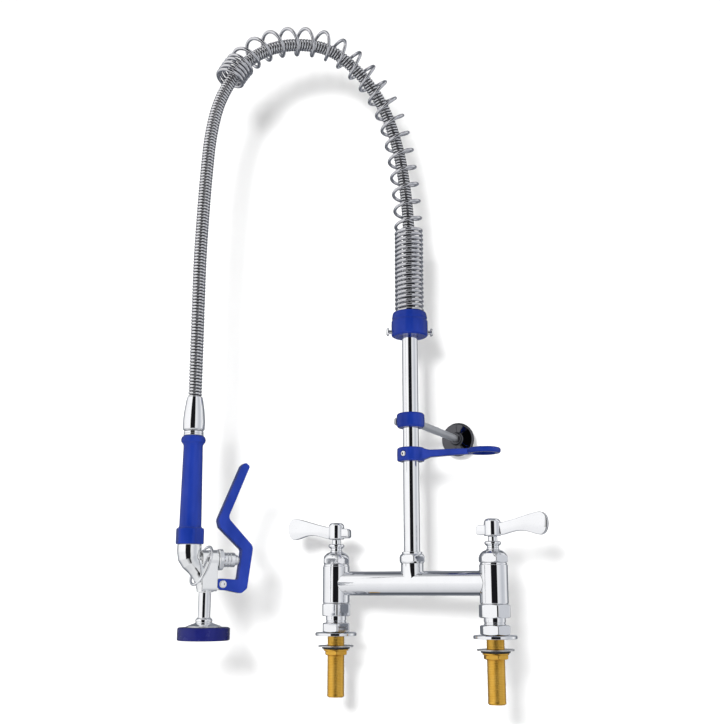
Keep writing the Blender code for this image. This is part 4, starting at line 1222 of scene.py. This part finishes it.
def make_outlet():
    low, high = span("outlet_tube", OUTLET)
    z = low.z
    bore = 5
    pipe = 6.9
    rim = high.x
    profile = [(bore, z), (rim - 0.2, z, 0.2), (rim, z + 0.5, 0.3), (rim - 0.6, z + 1.1, 0.5),
               (14.0, z + 2.7, 8), (9.6, z + 4.3, 1.6), (8.9, z + 5.2, 0.6), (9.5, z + 6.4, 1.0),
               (9.3, z + 7.8, 1.0), (8.3, z + 9.0, 0.6), (pipe + 0.1, z + 9.8, 1.2), (pipe, z + 12),
               (pipe, high.z), (bore, high.z)]
    chromed(turned("outlet_pipe", profile, OUTLET, True), "outlet_tube", "spray_valve")
    low, high = span("bumper", OUTLET)
    r = high.x
    z = low.z
    top = high.z
    profile = [(22.0, z, 0.6), (r - 0.9, z, 1.4), (r, z + 1.0, 1.2), (r, top - 1.2, 1.2),
               (r - 1.6, top, 1.6), (13.0, top, 1.0), (10.0, top - 0.4), (10.0, top - 3.0),
               (20.0, top - 3.0)]
    bumper = turned("rubber_bumper", profile, OUTLET, True, sides=128)
    settle(bumper, "spray_valve", "blue", BLUE_RUBBER, "bumper").visible_glossy = False
    low, high = span("spray_face", OUTLET)
    r = high.x
    z = low.z
    profile = [(0, z), (15.0, z, 0.8), (r, z + 2.4, 0.8), (r, high.z), (0, high.z)]
    face = turned("spray_disc", profile, OUTLET, fillet=0.3)
    holes = []
    for ring_r, count in ((4.5, 6), (8.5, 12), (12.4, 18)):
        for k in range(count):
            angle = 2 * math.pi * k / count
            x, y = ring_r * math.cos(angle), ring_r * math.sin(angle)
            holes.append(rod("jet", 0.75, (x, y, z - 1), (x, y, z + 2), OUTLET, 12))
    jets = merged("jets", holes)
    cut(face, jets)
    chromed(face, "spray_face", "spray_valve")


make_grip()
make_spray_body()
make_plunger()
make_lever()
make_hold_ring()
make_outlet()


# ---------------------------------------------------------------- stage and light

WALL_BEHIND = 0.20  # from the riser to the backdrop, so that the arch clears it wherever it swings
FLOOR_Z = -0.20


def stage_plane(name, size, place, material):
    shape = bmesh.new()
    corners = [(-size[0], -size[1], 0), (size[0], -size[1], 0), (size[0], size[1], 0),
               (-size[0], size[1], 0)]
    shape.faces.new([shape.verts.new(c) for c in corners])
    mesh = bpy.data.meshes.new(name)
    shape.to_mesh(mesh)
    shape.free()
    mesh.transform(place)
    obj = bpy.data.objects.new(name, mesh)
    obj.data.materials.append(material)
    bpy.context.scene.collection.objects.link(obj)
    return obj


def paper(name, one_sided):
    """Matt white paper. A one-sided sheet isn't there when it is looked at from behind."""
    n = Finish(name, Roughness=0.9)
    n.shader.inputs["Specular IOR Level"].default_value = 0.1
    n.link(n.ramp(n.noise(3, 2), [(0.3, 0.90), (0.7, 0.92)]), n.shader.inputs["Base Color"])
    if one_sided:
        clear = n.add("ShaderNodeBsdfTransparent")
        mixer = n.add("ShaderNodeMixShader")
        n.link(n.add("ShaderNodeNewGeometry").outputs["Backfacing"], mixer.inputs["Fac"])
        n.link(n.shader.outputs["BSDF"], mixer.inputs[1])
        n.link(clear.outputs["BSDF"], mixer.inputs[2])
        n.link(mixer.outputs["Shader"], n.tree.nodes["Material Output"].inputs["Surface"])
    return n.material


def make_stage():
    """A white backdrop and a pale floor. Reflections see the painted studio instead of both."""
    turn = (-FORWARD).to_track_quat("Z", "Y").to_matrix().to_4x4()
    backdrop = Matrix.Translation(FORWARD * WALL_BEHIND) @ turn
    wall = stage_plane("backdrop", (4, 4), backdrop, paper("backdrop_paper", True))
    floor = stage_plane("floor", (6, 6), Matrix.Translation((0, 0, FLOOR_Z)), paper("floor_paper", False))
    for obj in (wall, floor):
        obj.visible_glossy = False


def add_light(name, energy, location, target, size):
    data = bpy.data.lights.new(name, "AREA")
    data.energy = energy
    data.size = size
    light = bpy.data.objects.new(name, data)
    light.location = location
    light.rotation_euler = (Vector(target) - Vector(location)).to_track_quat("-Z", "Y").to_euler()
    light.visible_glossy = False
    light.visible_camera = False
    bpy.context.scene.collection.objects.link(light)


# The studio that polished metal mirrors: brightness by degrees to the right of the camera's heading, seen
# from the object, then by height, and a black panel across the front.
ROUND = [(-180, 0.25), (-150, 0.12), (-124, 0.55), (-104, 1.05), (-60, 1.12), (10, 1.10), (22, 0.92),
         (40, 0.84), (62, 0.60), (84, 0.70), (104, 1.05), (122, 0.45), (140, 0.06), (160, 0.50),
         (180, 0.25)]
HEIGHT = [(-90, 0.48), (-48, 0.72), (-14, 0.86), (-3, 0.92), (3, 1.0), (56, 1.0), (66, 0.42), (90, 0.30)]
PANEL_ROUND = [(-29.5, 0.0), (-27.5, 1.0), (19, 1.0), (22, 0.0)]
PANEL_HEIGHT = [(-40, 0.0), (-30, 1.0), (46, 1.0), (56, 0.0)]


def make_world():
    world = bpy.data.worlds.new("studio")
    world.use_nodes = True
    world.node_tree.nodes.clear()
    n = Nodes(world.node_tree)

    def ramp(source, stops, reach, tint=0.0):
        """Brightness by degrees, from -reach to reach. The grey ones can lean to blue."""
        share = n.math("MULTIPLY_ADD", source, 90 / math.pi / reach, 0.5)
        node = n.add("ShaderNodeValToRGB")
        elements = node.color_ramp.elements
        while len(elements) < len(stops):
            elements.new(0.5)
        for element, (degrees, value) in zip(elements, stops):
            element.position = 0.5 + degrees / reach / 2
            blue = value + tint * value * max(0.0, 1 - value)
            element.color = (value, value * (1 + (blue / value - 1) * 0.35) if value else 0, blue, 1)
        n.link(share, node.inputs["Fac"])
        return node.outputs["Color"]

    direction = n.add("ShaderNodeTexCoord").outputs["Generated"]
    turn = n.add("ShaderNodeVectorRotate", rotation_type="Z_AXIS")
    turn.inputs["Angle"].default_value = -CAMERA_AZIMUTH
    n.link(direction, turn.inputs["Vector"])
    split = n.add("ShaderNodeSeparateXYZ")
    n.link(turn.outputs["Vector"], split.inputs["Vector"])
    azimuth = n.math("ARCTAN2", split.outputs["X"], n.math("MULTIPLY", split.outputs["Y"], -1))
    height = n.math("ARCSINE", split.outputs["Z"])
    product = n.add("ShaderNodeMix", data_type="RGBA", blend_type="MULTIPLY")
    product.inputs["Factor"].default_value = 1
    n.link(ramp(azimuth, ROUND, 180, 0.25), product.inputs["A"])
    n.link(ramp(height, HEIGHT, 90, 0.10), product.inputs["B"])
    panel = n.math("MULTIPLY", ramp(azimuth, PANEL_ROUND, 180), ramp(height, PANEL_HEIGHT, 90))
    panelled = n.add("ShaderNodeMix", data_type="RGBA")
    n.link(panel, panelled.inputs["Factor"])
    n.link(product.outputs["Result"], panelled.inputs["A"])
    panelled.inputs["B"].default_value = (0.010, 0.010, 0.012, 1)
    mirrored = n.add("ShaderNodeBackground")
    n.link(panelled.outputs["Result"], mirrored.inputs["Color"])
    even = n.add("ShaderNodeBackground")
    even.inputs["Color"].default_value = (1, 1, 1, 1)
    even.inputs["Strength"].default_value = 0.50
    seen = n.add("ShaderNodeBackground")
    seen.inputs["Color"].default_value = (1, 1, 1, 1)
    path = n.add("ShaderNodeLightPath")
    first = n.add("ShaderNodeMixShader")
    n.link(path.outputs["Is Glossy Ray"], first.inputs["Fac"])
    n.link(even.outputs["Background"], first.inputs[1])
    n.link(mirrored.outputs["Background"], first.inputs[2])
    second = n.add("ShaderNodeMixShader")
    n.link(path.outputs["Is Camera Ray"], second.inputs["Fac"])
    n.link(first.outputs["Shader"], second.inputs[1])
    n.link(seen.outputs["Background"], second.inputs[2])
    output = n.add("ShaderNodeOutputWorld")
    n.link(second.outputs["Shader"], output.inputs["Surface"])
    bpy.context.scene.world = world


def make_lights():
    """A small soft key, up and left of the camera, for the drop shadows, and a broad side light."""
    beside_camera = CAMERA.location - FORWARD * 0.3 - RIGHT * 0.20 + UP * 0.22
    add_light("key", 24.0, beside_camera, UP * 0.34 + RIGHT * 0.08, 0.18)
    add_light("side", 2.5, RIGHT * 1.2 - FORWARD * 0.35 + UP * 0.45, UP * 0.35, 0.7)


make_stage()
make_world()
make_lights()
bpy.context.scene.view_settings.view_transform = "Standard"
bpy.context.scene.view_settings.look = "None"
